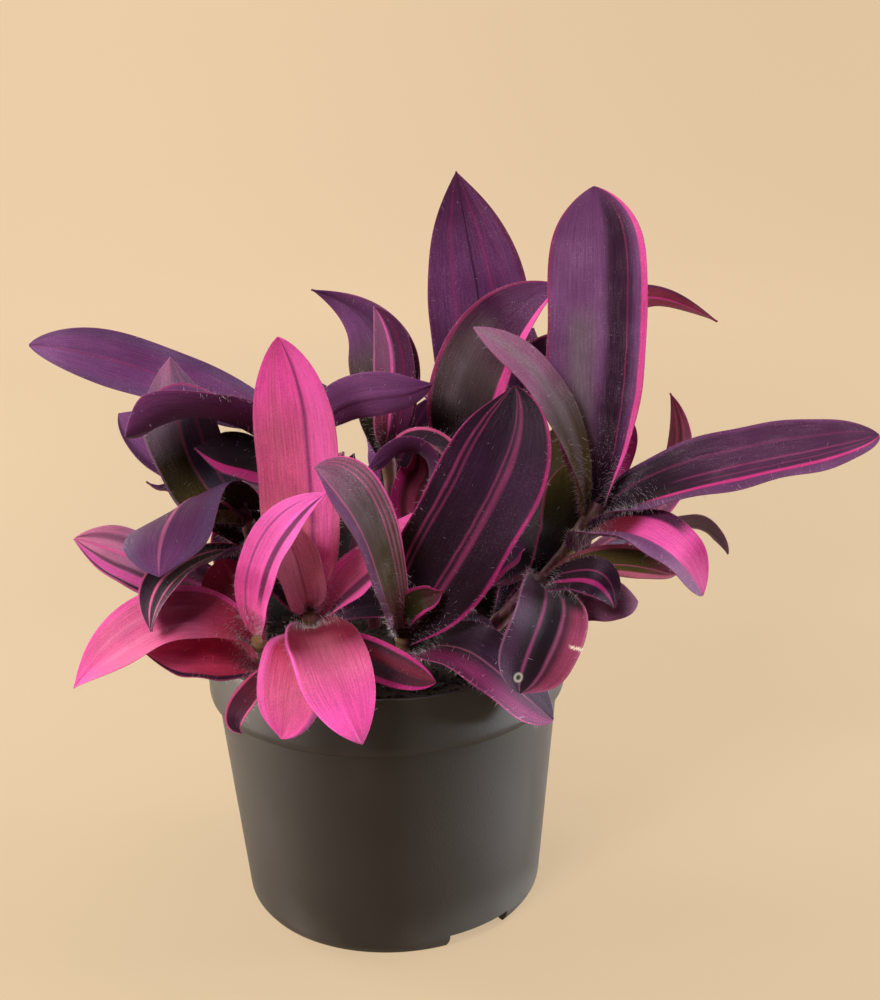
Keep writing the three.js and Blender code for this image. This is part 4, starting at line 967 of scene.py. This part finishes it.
        (0.94, 0.07, 0.03, "magenta", 1.0), (-0.96, 0.05, 0.03, "stripe", 0.9),
        (-0.3, 0.04, 0.03, "stripe", 0.8), (0.3, 0.03, 0.03, "stripe", 0.8), frost=0.1),
    "pink_striped": look(["dusk", "rose", "mauve", "violet"], ["violet", "violet"],
        (0.5, 0.14, 0.05, "aubergine", 0.9), (-0.4, 0.16, 0.05, "aubergine", 0.85),
        (0.92, 0.1, 0.04, "bright", 0.9), (-0.92, 0.1, 0.04, "bright", 0.8), frost=0.1),
}
print("looks:", len(LOOKS))

# %% [markdown]
# ### Frames along a leaf
# The stem is a smooth curve, and a leaf's rib one cubic curve through the three points of its row. The
# upper side's direction is set in mid-leaf and carried to both ends without twist, so a blade never spins
# about its rib. It may then be turned towards a second direction over its outer half.

# %% Curves
STEM_RADIUS = 2.4
SOCKET_DEPTH = 16.0  # of a stem in the soil
BARE_SHARE = 0.4  # of a stem, in the soil and just above it


def stem_points(stem):
    """A stem's points, from its end in the soil, straight up to just above it, and on to its crown."""
    (x, y), middle, crown = stem
    bottom = SOIL_TOP - SOCKET_DEPTH
    return [Vector(p) for p in ((x, y, bottom), (x, y, bottom + 9), (x, y, SOIL_TOP + 4), middle, crown)]


def root_share(row):
    """Where a leaf leaves its stem, as a share of the whole stem."""
    return BARE_SHARE + (1 - BARE_SHARE) * row["on"]


def stem_at(points, share):
    """A point on the smooth curve through a stem's points, evenly timed by the root of their distances."""
    last = len(points) - 1
    place = min(share, 0.999999) * last
    k = int(place)
    u = place - k
    p1, p2 = points[k], points[k + 1]
    p0 = points[k - 1] if k > 0 else p1 * 2 - p2
    p3 = points[k + 2] if k + 2 <= last else p2 * 2 - p1
    d0, d1, d2 = ((b - a).length ** 0.5 for a, b in ((p0, p1), (p1, p2), (p2, p3)))
    start = ((p1 - p0) / d0 - (p2 - p0) / (d0 + d1) + (p2 - p1) / d1) * d1
    end = ((p2 - p1) / d1 - (p3 - p1) / (d1 + d2) + (p3 - p2) / d2) * d1
    return (p1 + start * u + (p2 * 3 - p1 * 3 - start * 2 - end) * u ** 2
            + (p1 * 2 - p2 * 2 + start + end) * u ** 3)


def smooth(x):
    """Eases from 0 to 1 as x does."""
    x = np.clip(x, 0.0, 1.0)
    return x * x * (3 - 2 * x)


# %% Frames
ROWS = 56  # steps along a blade
TIP_CROWDING = 1.3  # above 1, the steps are shorter towards the tip
TURN_STARTS = 0.35  # share of the length where a blade starts to turn towards its second direction


def square(way, along):
    """A direction made square to another."""
    return (way - along * way.dot(along)).normalized()


def rib_frames(root, row):
    """Along a rib: share of its length, point, tangent and the way that the upper side looks."""
    q1, q2, p3 = (Vector(p) for p in row["points"])
    p1 = (q1 * 18 - root * 5 - q2 * 9 + p3 * 2) / 6
    p2 = (root * 2 - q1 * 9 + q2 * 18 - p3 * 5) / 6
    shares = [1 - (1 - i / ROWS) ** TIP_CROWDING for i in range(ROWS + 1)]
    points, tangents = [], []
    for t in shares:
        s = 1 - t
        points.append(root * s ** 3 + p1 * 3 * s * s * t + p2 * 3 * s * t * t + p3 * t ** 3)
        tangents.append(((p1 - root) * s * s + (p2 - p1) * 2 * s * t + (p3 - p2) * t * t).normalized())
    ups = [None] * (ROWS + 1)
    middle = ROWS // 2
    ups[middle] = square(Vector(row["face"]), tangents[middle])
    for order in (range(middle + 1, ROWS + 1), range(middle - 1, -1, -1)):
        for i in order:
            near = i - 1 if i > middle else i + 1
            turn = tangents[near].rotation_difference(tangents[i])
            ups[i] = square(turn @ ups[near], tangents[i])
    if row["end"]:
        wanted = square(Vector(row["end"]), tangents[-1])
        twist = math.atan2(wanted.dot(tangents[-1].cross(ups[-1])), wanted.dot(ups[-1]))
        ups = [Quaternion(along, twist * float(smooth((t - TURN_STARTS) / (1 - TURN_STARTS)))) @ up
               for t, along, up in zip(shares, tangents, ups)]
    return np.array(shares), np.array(points), np.array(tangents), np.array(ups)


# %% [markdown]
# ### The blade
# A blade is a closed ring of points at each station: across the upper side, round a thin margin and back
# along the underside. It is thickest at the midrib, which is a groove above and a keel below. The
# margins ripple a little and the width wavers, each leaf in its own way, from a fixed seed.

# %% One blade
COLUMNS = 22  # steps across a blade
THICKNESS = 0.85
ROOT_WIDTH = 0.34  # of the full width
ROOT_WRAP = 1.8  # radians that half the root wraps round the stem
WRAP_END = 0.22  # share of the length where the wrap has opened
THINNEST_HALF = 0.35
RIPPLE = 0.02  # of the width
WAVER = 0.015  # of the width
RIB_GROOVE = 0.35  # depth along the midrib on the upper side
KEEL = 0.5  # height along it on the underside


def half_width(t, row):
    """Half the width of a blade at shares of its length: it swells from the root and closes to a point."""
    rise = ROOT_WIDTH + (1 - ROOT_WIDTH) * np.sin(np.pi / 2 * np.clip(t / row["widest"], 0, 1)) ** 0.9
    fall = np.cos(np.pi / 2 * np.clip((t - row["widest"]) / (1 - row["widest"]), 0, 1) ** row["blunt"])
    fall = np.clip(fall, 0, 1) ** row["taper"]
    return np.maximum(THINNEST_HALF, row["wide"] / 2 * np.where(t < row["widest"], rise, fall))


def blade(root, row, seed):
    """Points and faces of a blade, and what its material needs at each point."""
    chance = np.random.default_rng(seed)
    shares, rib, along, up = rib_frames(root, row)
    across = np.cross(along, up)
    opened = smooth(shares / WRAP_END)
    bend = ROOT_WRAP + (row["fold"] * (1 - 0.35 * shares) - ROOT_WRAP) * opened
    half = half_width(shares, row)
    half = half * (1 + WAVER * np.sin(shares * chance.uniform(9, 15) + chance.uniform(0, 6)) * opened)
    radius = half / bend
    place = np.sin(np.linspace(-np.pi / 2, np.pi / 2, COLUMNS + 1))  # closer together at the margins
    t = shares[:, None]
    angle = bend[:, None] * place
    normal = up[:, None] * np.cos(angle)[..., None] - across[:, None] * np.sin(angle)[..., None]
    middle = rib[:, None] + up[:, None] * (radius - STEM_RADIUS * (1 - opened))[:, None, None]
    middle = middle - normal * radius[:, None, None]
    waves = chance.uniform(2.0, 3.6)
    phases = chance.uniform(0, 6.28, 2)
    phase = np.where(place < 0, phases[0], phases[1])
    ripple = RIPPLE * row["wide"] * np.abs(place) ** 3
    ripple = ripple * np.sin(2 * np.pi * waves * t + phase) * np.sin(np.pi * t)
    groove = RIB_GROOVE * np.exp(-(place / 0.09) ** 2) * opened[:, None]
    middle = middle + normal * (ripple - groove)[..., None]
    thick = THICKNESS * (0.2 + 0.8 * np.sqrt(1 - np.abs(place) ** 3)) * (1 - 0.5 * t)
    keel = KEEL * np.exp(-(place / 0.1) ** 2) * (1 - t)
    upper = middle + normal * (thick / 2)[..., None]
    lower = middle - normal * (thick / 2 + keel)[..., None]
    points = np.concatenate([upper, lower[:, ::-1]], axis=1)
    ring = 2 * (COLUMNS + 1)
    index = np.arange((ROWS + 1) * ring).reshape(ROWS + 1, ring)
    after = np.roll(index, -1, axis=1)
    faces = np.stack([index[:-1], after[:-1], after[1:], index[1:]], axis=-1).reshape(-1, 4)
    j = np.arange(COLUMNS)
    below = ring - 1 - j
    foot = np.stack([j, below, below - 1, j + 1], axis=-1)
    end = np.stack([j, j + 1, below - 1, below], axis=-1) + ROWS * ring
    length = np.linalg.norm(np.diff(rib, axis=0), axis=1).sum()
    whole = np.concatenate([place, place[::-1]])
    data = {
        "across": np.broadcast_to(whole, (ROWS + 1, ring)),
        "along": np.broadcast_to(t, (ROWS + 1, ring)),
        "under": np.broadcast_to(np.repeat([0.0, 1.0], COLUMNS + 1), (ROWS + 1, ring)),
        "metric": np.stack([whole * half[:, None], np.broadcast_to(t * length, (ROWS + 1, ring)),
                            np.full((ROWS + 1, ring), float(seed) * 7)], axis=-1),
    }
    return points.reshape(-1, 3), np.concatenate([faces, foot, end]), data


# %% [markdown]
# ### Carrying a look to the material
# A material for each leaf would say the same thing 70 times, so all leaves share one. What differs from
# leaf to leaf is stored on the mesh: the ground colour, which changes smoothly from root to tip, and for
# each stripe its place and colour. The edges of the stripes are drawn in the material, so they stay sharp
# however coarse the mesh is.

# %% Looks as attributes
STRIPES = 6  # the most that a look has
NO_STRIPE = 9.0  # a place that lies off every blade
FADE = 0.12  # share of the length over which a stripe starts or ends


def along_blade(names, t):
    """Colours spread evenly from root to tip."""
    stops = np.linspace(0, 1, len(names))
    colours = np.array([linear(TISSUE[name]) for name in names])
    return np.stack([np.interp(t, stops, colours[:, c]) for c in range(4)], axis=-1)


def dressed(data, style):
    """Adds a look's ground colour and stripes to a blade's data."""
    t, under = data["along"], data["under"] > 0.5
    ground = np.where(under[..., None], along_blade(style["under"], t), along_blade(style["upper"], t))
    ground[..., 3] = style["frost"]
    data["ground"] = ground
    for k in range(STRIPES):
        place = np.zeros(t.shape + (3,))
        place[..., 0] = NO_STRIPE
        paint = np.zeros(t.shape + (4,))
        for side, stripes in ((under, style["below"]), (~under, style["stripes"])):
            if k < len(stripes):
                centre, half, soft, tissue, strength = stripes[k][:5]
                first, last = stripes[k][5:] or (-1.0, 2.0)
                place[side] = (centre, half, soft)
                paint[side] = linear(TISSUE[tissue])
                window = smooth((t - first) / FADE) * (1 - smooth((t - last) / FADE))
                paint[..., 3] = np.where(side, strength * window, paint[..., 3])
        data[f"place_{k + 1}"] = place
        data[f"paint_{k + 1}"] = paint
    return data


KINDS = {1: "FLOAT", 3: "FLOAT_VECTOR", 4: "FLOAT_COLOR"}
FIELDS = {1: "value", 3: "vector", 4: "color"}


def store(mesh, data):
    """Writes arrays of one value, vector or colour for each point onto a mesh."""
    for name, values in data.items():
        width = 1 if values.ndim == 1 else values.shape[1]
        attribute = mesh.attributes.new(name, KINDS[width], "POINT")
        attribute.data.foreach_set(FIELDS[width], np.ascontiguousarray(values, dtype=np.float32).ravel())


# %% [markdown]
# ### Leaf tissue
# Leaf skin is satin and slightly see-through, with long parallel veins. Its shine is painted into the
# colour as a painted sheen, a pale silvery grey on some leaves, and as painted glints, a fine sparkle of
# pale cells.
# Its patterns could be painted on an image, but maths on the place across and along the blade stays sharp
# at any distance. The material lays the stripes over the ground colour one after another, then adds veins
# that follow the blade, blotches that don't, the painted sheen and glints, and thin wear at the margins.

# %% Leaf material
leaf_skin, start, shader = new_material("leaf_skin")


def read(name, output="Fac"):
    """An attribute of the mesh."""
    return start.node("ShaderNodeAttribute", {"attribute_name": name}, output=output)


across, under, colour = read("across"), read("under"), read("ground", "Color")
frost = colour.out("Alpha")
_, long_mm, number = read("metric", "Vector").axes()
place = start.node("ShaderNodeTexCoord", output="Object")
waver = start.vector(across * 1.5, long_mm * 0.06, number).noise(1.0)
steady = across + (waver - 0.5) * 0.07
for k in range(STRIPES):
    centre, half, soft = read(f"place_{k + 1}", "Vector").axes()
    paint = read(f"paint_{k + 1}", "Color")
    gap = (steady - centre).size() - half
    mask = 1 - (gap / (soft + 0.001)).span(-1.0, 1.0)
    colour = colour.mixed(paint, mask * paint.out("Alpha"))

# Veins: even lines that run with the blade and meet at its tip, and finer uneven ones between them.
ridge = start.math("COSINE", (across + (waver - 0.5) * 0.06) * 75) * 0.5 + 0.5
lines = ridge ** 2
veins = start.vector(across * 15, long_mm * 0.05, number).noise(1.0, detail=3.0, roughness=0.6)
threads = start.vector(across * 60, long_mm * 0.12, number).noise(1.0, detail=1.0)
blotches = place.noise(70.0, detail=3.0)
cells = place.noise(2600.0, detail=1.0)
fine = veins.span(0.3, 0.7) * 0.2 + threads.span(0.3, 0.7) * 0.2 - lines * threads * 0.16
uneven = blotches.span(0.3, 0.7) * 0.2 + cells.span(0.35, 0.65) * 0.16
colour = colour.scaled(0.64 + fine + uneven)
# Painted sheen: a pale silvery grey over streaks and blotches, as strong as the look's frost and weaker
# below; it also makes the skin a little smoother.
silver = frost * threads.span(0.42, 0.66) * blotches.span(0.35, 0.7) * (1 - under * 0.7)
# Painted glints: pale flecks on single cells, on every upper side and more where the painted sheen is.
painted_glints = cells.span(0.56, 0.7) * blotches.span(0.4, 0.65) * (0.12 + frost) * (1 - under * 0.8)
colour = colour.mixed(linear("a898a6"), silver * 0.6).mixed(linear("c0acb8"), painted_glints * 0.5)
colour = colour.mixed(linear("a0507c"), across.size().span(0.97, 1.0) * 0.3)

# Two old wounds on one low leaf at the right: a healed ring, and a pale split that runs in from the margin.
RING_AT = (0.0378, -0.064, 0.0999)
SPLIT_AT = (0.0572, -0.0537, 0.1054)
from_ring = place.combined("SUBTRACT", RING_AT).size()
ring = from_ring.span(0.0007, 0.0011) * from_ring.span(0.0013, 0.0018, 1.0, 0.0)
colour = colour.mixed(linear("2c3420"), from_ring.span(0.0012, 0.0022, 0.8, 0.0))
colour = colour.mixed(linear("a89c8c"), ring * 0.9)
from_split = place.combined("SUBTRACT", SPLIT_AT)
inward, _, rise = from_split.axes()
split = (rise + inward * 0.3 + (threads - 0.5) * 0.002).size().span(0.0002, 0.0005, 1.0, 0.0)
split = split * inward.size().span(0.003, 0.0045, 1.0, 0.0)
colour = colour.mixed(linear("eed8c0"), split * from_split.size().span(0.008, 0.012, 1.0, 0.0))
start.plug(shader.inputs["Base Color"], colour)
start.plug(shader.inputs["Roughness"], 0.36 + veins * 0.16 - silver * 0.1 + under * 0.1)
emboss(shader, start, veins * 0.6 + threads * 0.6 + cells * 0.3 - lines * 0.06, 0.35, 0.0005)
SKIN = {
    "Subsurface Weight": 0.12, "Subsurface Radius": (1.0, 0.35, 0.5), "Subsurface Scale": 0.0015,
    "Specular IOR Level": 0.16, "Specular Tint": (1.0, 0.72, 1.0, 1.0),
    "Sheen Weight": 0.05, "Sheen Roughness": 0.4,
}
for socket, value in SKIN.items():
    shader.inputs[socket].default_value = value
print("leaf material has", len(leaf_skin.node_tree.nodes), "nodes")

# %% The leaves, one piece for each shoot
PINK_SHOOTS = ("pink_front", "pink_left")
seed = 0
blades = []
for name, shoot in SHOOTS.items():
    stem = stem_points(shoot["stem"])
    all_points, all_faces, all_data, count = [], [], [], 0
    for row in shoot["leaves"]:
        seed += 1
        root = stem_at(stem, root_share(row))
        points, faces, data = blade(root, row, seed)
        all_points.append(points * MM)
        all_faces.append(faces + count)
        all_data.append(dressed(data, LOOKS[row["style"]]))
        count += len(points)
    piece = new_object(f"leaves_{name}", np.concatenate(all_points), np.concatenate(all_faces).tolist())
    store(piece.data, {key: np.concatenate([d[key].reshape((-1,) + d[key].shape[2:]) for d in all_data])
                       for key in all_data[0]})
    print(name, "has the leaves", ", ".join(row["name"] for row in shoot["leaves"]))
    piece.data.materials.append(leaf_skin)
    finished(piece, "leaf_pink" if name in PINK_SHOOTS else "leaf_purple", f"shoot_{name}")
    blades.append(piece)
print("leaf triangles:", sum(2 * len(piece.data.polygons) for piece in blades))

# %% [markdown]
# ### Stems
# A stem is a fleshy round rod. Each leaf's root sheathes the length below it, which ends in a small
# swelling. A bevelled curve would do for one stem. All of them are edges of one mesh here, and Geometry
# Nodes sweep a circle along those paths, with the girth read from the points.

# %% Paths of the stems
STEM_STEPS = 72
PLAIN_RADIUS = STEM_RADIUS - 0.15  # between the swellings
SWELLING = 0.45
SWELLING_REACH = 0.05  # share of the stem to each side of a swelling's middle
CROWN_STARTS = 0.96  # share of the stem where its end starts to taper
CROWN_TAPER = 0.5
paths, links, girths = [], [], []
for shoot in SHOOTS.values():
    stem = stem_points(shoot["stem"])
    swellings = [root_share(row) + 0.01 for row in shoot["leaves"]]
    for k in range(STEM_STEPS + 1):
        share = k / STEM_STEPS
        nearest = min(abs(share - at) for at in swellings)
        swelling = SWELLING * max(0.0, 1 - nearest / SWELLING_REACH)
        taper = CROWN_TAPER * smooth((share - CROWN_STARTS) / (1 - CROWN_STARTS))
        girths.append((PLAIN_RADIUS + swelling - taper) * MM)
        if k:
            links.append((len(paths) - 1, len(paths)))
        paths.append(stem_at(stem, share) * MM)
stem_paths = new_object("stem_paths", paths, [], edges=links)
girth = stem_paths.data.attributes.new("girth", "FLOAT", "POINT")
girth.data.foreach_set("value", np.array(girths, dtype=np.float32))

# %% Stem skin
stem_skin, start, shader = new_material("stem_skin")
place = start.node("ShaderNodeTexCoord", output="Object")
lines = place.combined("MULTIPLY", (1.0, 1.0, 0.08)).noise(900.0)  # long noise, because Z counts for less
base = place.noise(90.0, detail=3.0).span(0.3, 0.7).between("6a2c44", "7c6a3a")
start.plug(shader.inputs["Base Color"], base.mixed(linear("b0688c"), lines.span(0.5, 0.7) * 0.5))
start.plug(shader.inputs["Roughness"], 0.42 + lines * 0.15)
emboss(shader, start, lines, 0.3, 0.0003)

# %% Tree that sweeps the stems
tree, wires = new_tree("sweep_stems", {"Sides": "Int", "Material": "Material"})
start = Wire(tree)
curve = start.node("GeometryNodeMeshToCurve", None, {"Mesh": wires["Geometry"]})
size = start.node("GeometryNodeInputNamedAttribute", {"data_type": "FLOAT"}, {"Name": "girth"})
round_section = start.node("GeometryNodeCurvePrimitiveCircle", None,
                           {"Resolution": wires["Sides"], "Radius": 1.0})
rod = start.node("GeometryNodeCurveToMesh", None,
                 {"Curve": curve, "Profile Curve": round_section, "Scale": size, "Fill Caps": True})
close_tree(tree, rod, wires["Material"])
stems = grown("stems", stem_paths, tree, sides=18, material=stem_skin)
bpy.data.objects.remove(stem_paths)
stems.data.shade_smooth()
finished(stems, "leaf_purple")

# %% [markdown]
# ### Hairs
# The plant is finely hairy. Soft white hairs fringe the sheath at each root and the margins, and a thin
# down catches the light on ridges. Blender's own hair curves are softer, but an export drops them. So a
# hair is a spike with three faces, strewn by Geometry Nodes over the leaves where an attribute says that
# they are hairy.

# %% Where the leaves are hairy
OPEN_DOWN = 0.01  # share of the places that carry a hair on the open blade
MARGIN_DOWN = 0.4  # and more along the margins
MARGIN_THINNING = 0.6  # of those, how many are lost towards the tip
SHEATH_DOWN = 0.6  # and more round the root
carrier_parts = []
for piece in blades:
    copy = piece.copy()
    copy.data = piece.data.copy()
    mesh = copy.data
    values = {}
    for key in ("across", "along"):
        values[key] = np.zeros(len(mesh.vertices), np.float32)
        mesh.attributes[key].data.foreach_get("value", values[key])
    fringe = smooth((np.abs(values["across"]) - 0.86) / 0.12)
    sheath = 1 - smooth((values["along"] - 0.1) / 0.2)
    margin = MARGIN_DOWN * fringe * (1 - MARGIN_THINNING * values["along"])
    store(mesh, {"hairy": OPEN_DOWN + margin + SHEATH_DOWN * sheath})
    carrier_parts.append(copy)
print("hair carriers:", len(carrier_parts))

# %% Hair material
hair_white, start, shader = new_material("hair_white")
uneven = start.node("ShaderNodeTexCoord", output="Object").noise(400.0)
start.plug(shader.inputs["Base Color"], uneven.between("b9a3ae", "e6d9dc"))
start.plug(shader.inputs["Roughness"], 0.45 + uneven * 0.2)

# %% Tree that strews hairs
tree, wires = new_tree("strew_hairs", {"Density": "Float", "Length": "Float", "Thickness": "Float",
                                       "Lean": "Float", "Seed": "Int", "Material": "Material"})
start = Wire(tree)
hairy = start.node("GeometryNodeInputNamedAttribute", {"data_type": "FLOAT"}, {"Name": "hairy"})
strewn = start.node("GeometryNodeDistributePointsOnFaces", None,
                    {"Mesh": wires["Geometry"], "Density": wires["Density"] * hairy, "Seed": wires["Seed"]})
lean = start.node("FunctionNodeRandomValue", {"data_type": "FLOAT_VECTOR"},
                  {"Min": (-1.0, -1.0, -1.0), "Max": (1.0, 1.0, 1.0), "Seed": wires["Seed"]})
leaning = strewn.out("Normal").combined("ADD", lean.scaled(wires["Lean"]))
turn = start.node("FunctionNodeAlignEulerToVector", {"axis": "Z"}, {"Vector": leaning})
stretch = start.node("FunctionNodeRandomValue", {"data_type": "FLOAT"}, {2: 0.5, 3: 1.4}, output=1)
spike = start.node("GeometryNodeMeshCone", {"fill_type": "NONE"},
                   {"Vertices": 3, "Radius Top": 0.0, "Radius Bottom": wires["Thickness"],
                    "Depth": wires["Length"]})
hairs = start.node("GeometryNodeInstanceOnPoints", None,
                   {"Points": strewn, "Instance": spike, "Rotation": turn,
                    "Scale": start.vector(1.0, 1.0, stretch)})
close_tree(tree, hairs, wires["Material"])

# %% The hairs
HAIRS_ON_METRE = 1300000.0
HAIR_LENGTH = 0.0018
HAIR_RADIUS = 0.00004
carrier = carrier_parts[0]
for copy in carrier_parts:
    bpy.context.scene.collection.objects.link(copy)
with bpy.context.temp_override(active_object=carrier, selected_editable_objects=carrier_parts):
    bpy.ops.object.join()
down = grown("leaf_hairs", carrier, tree, density=HAIRS_ON_METRE, length=HAIR_LENGTH,
             thickness=HAIR_RADIUS, lean=0.5, seed=11, material=hair_white)
bpy.data.objects.remove(carrier)
finished(down, "leaf_purple")
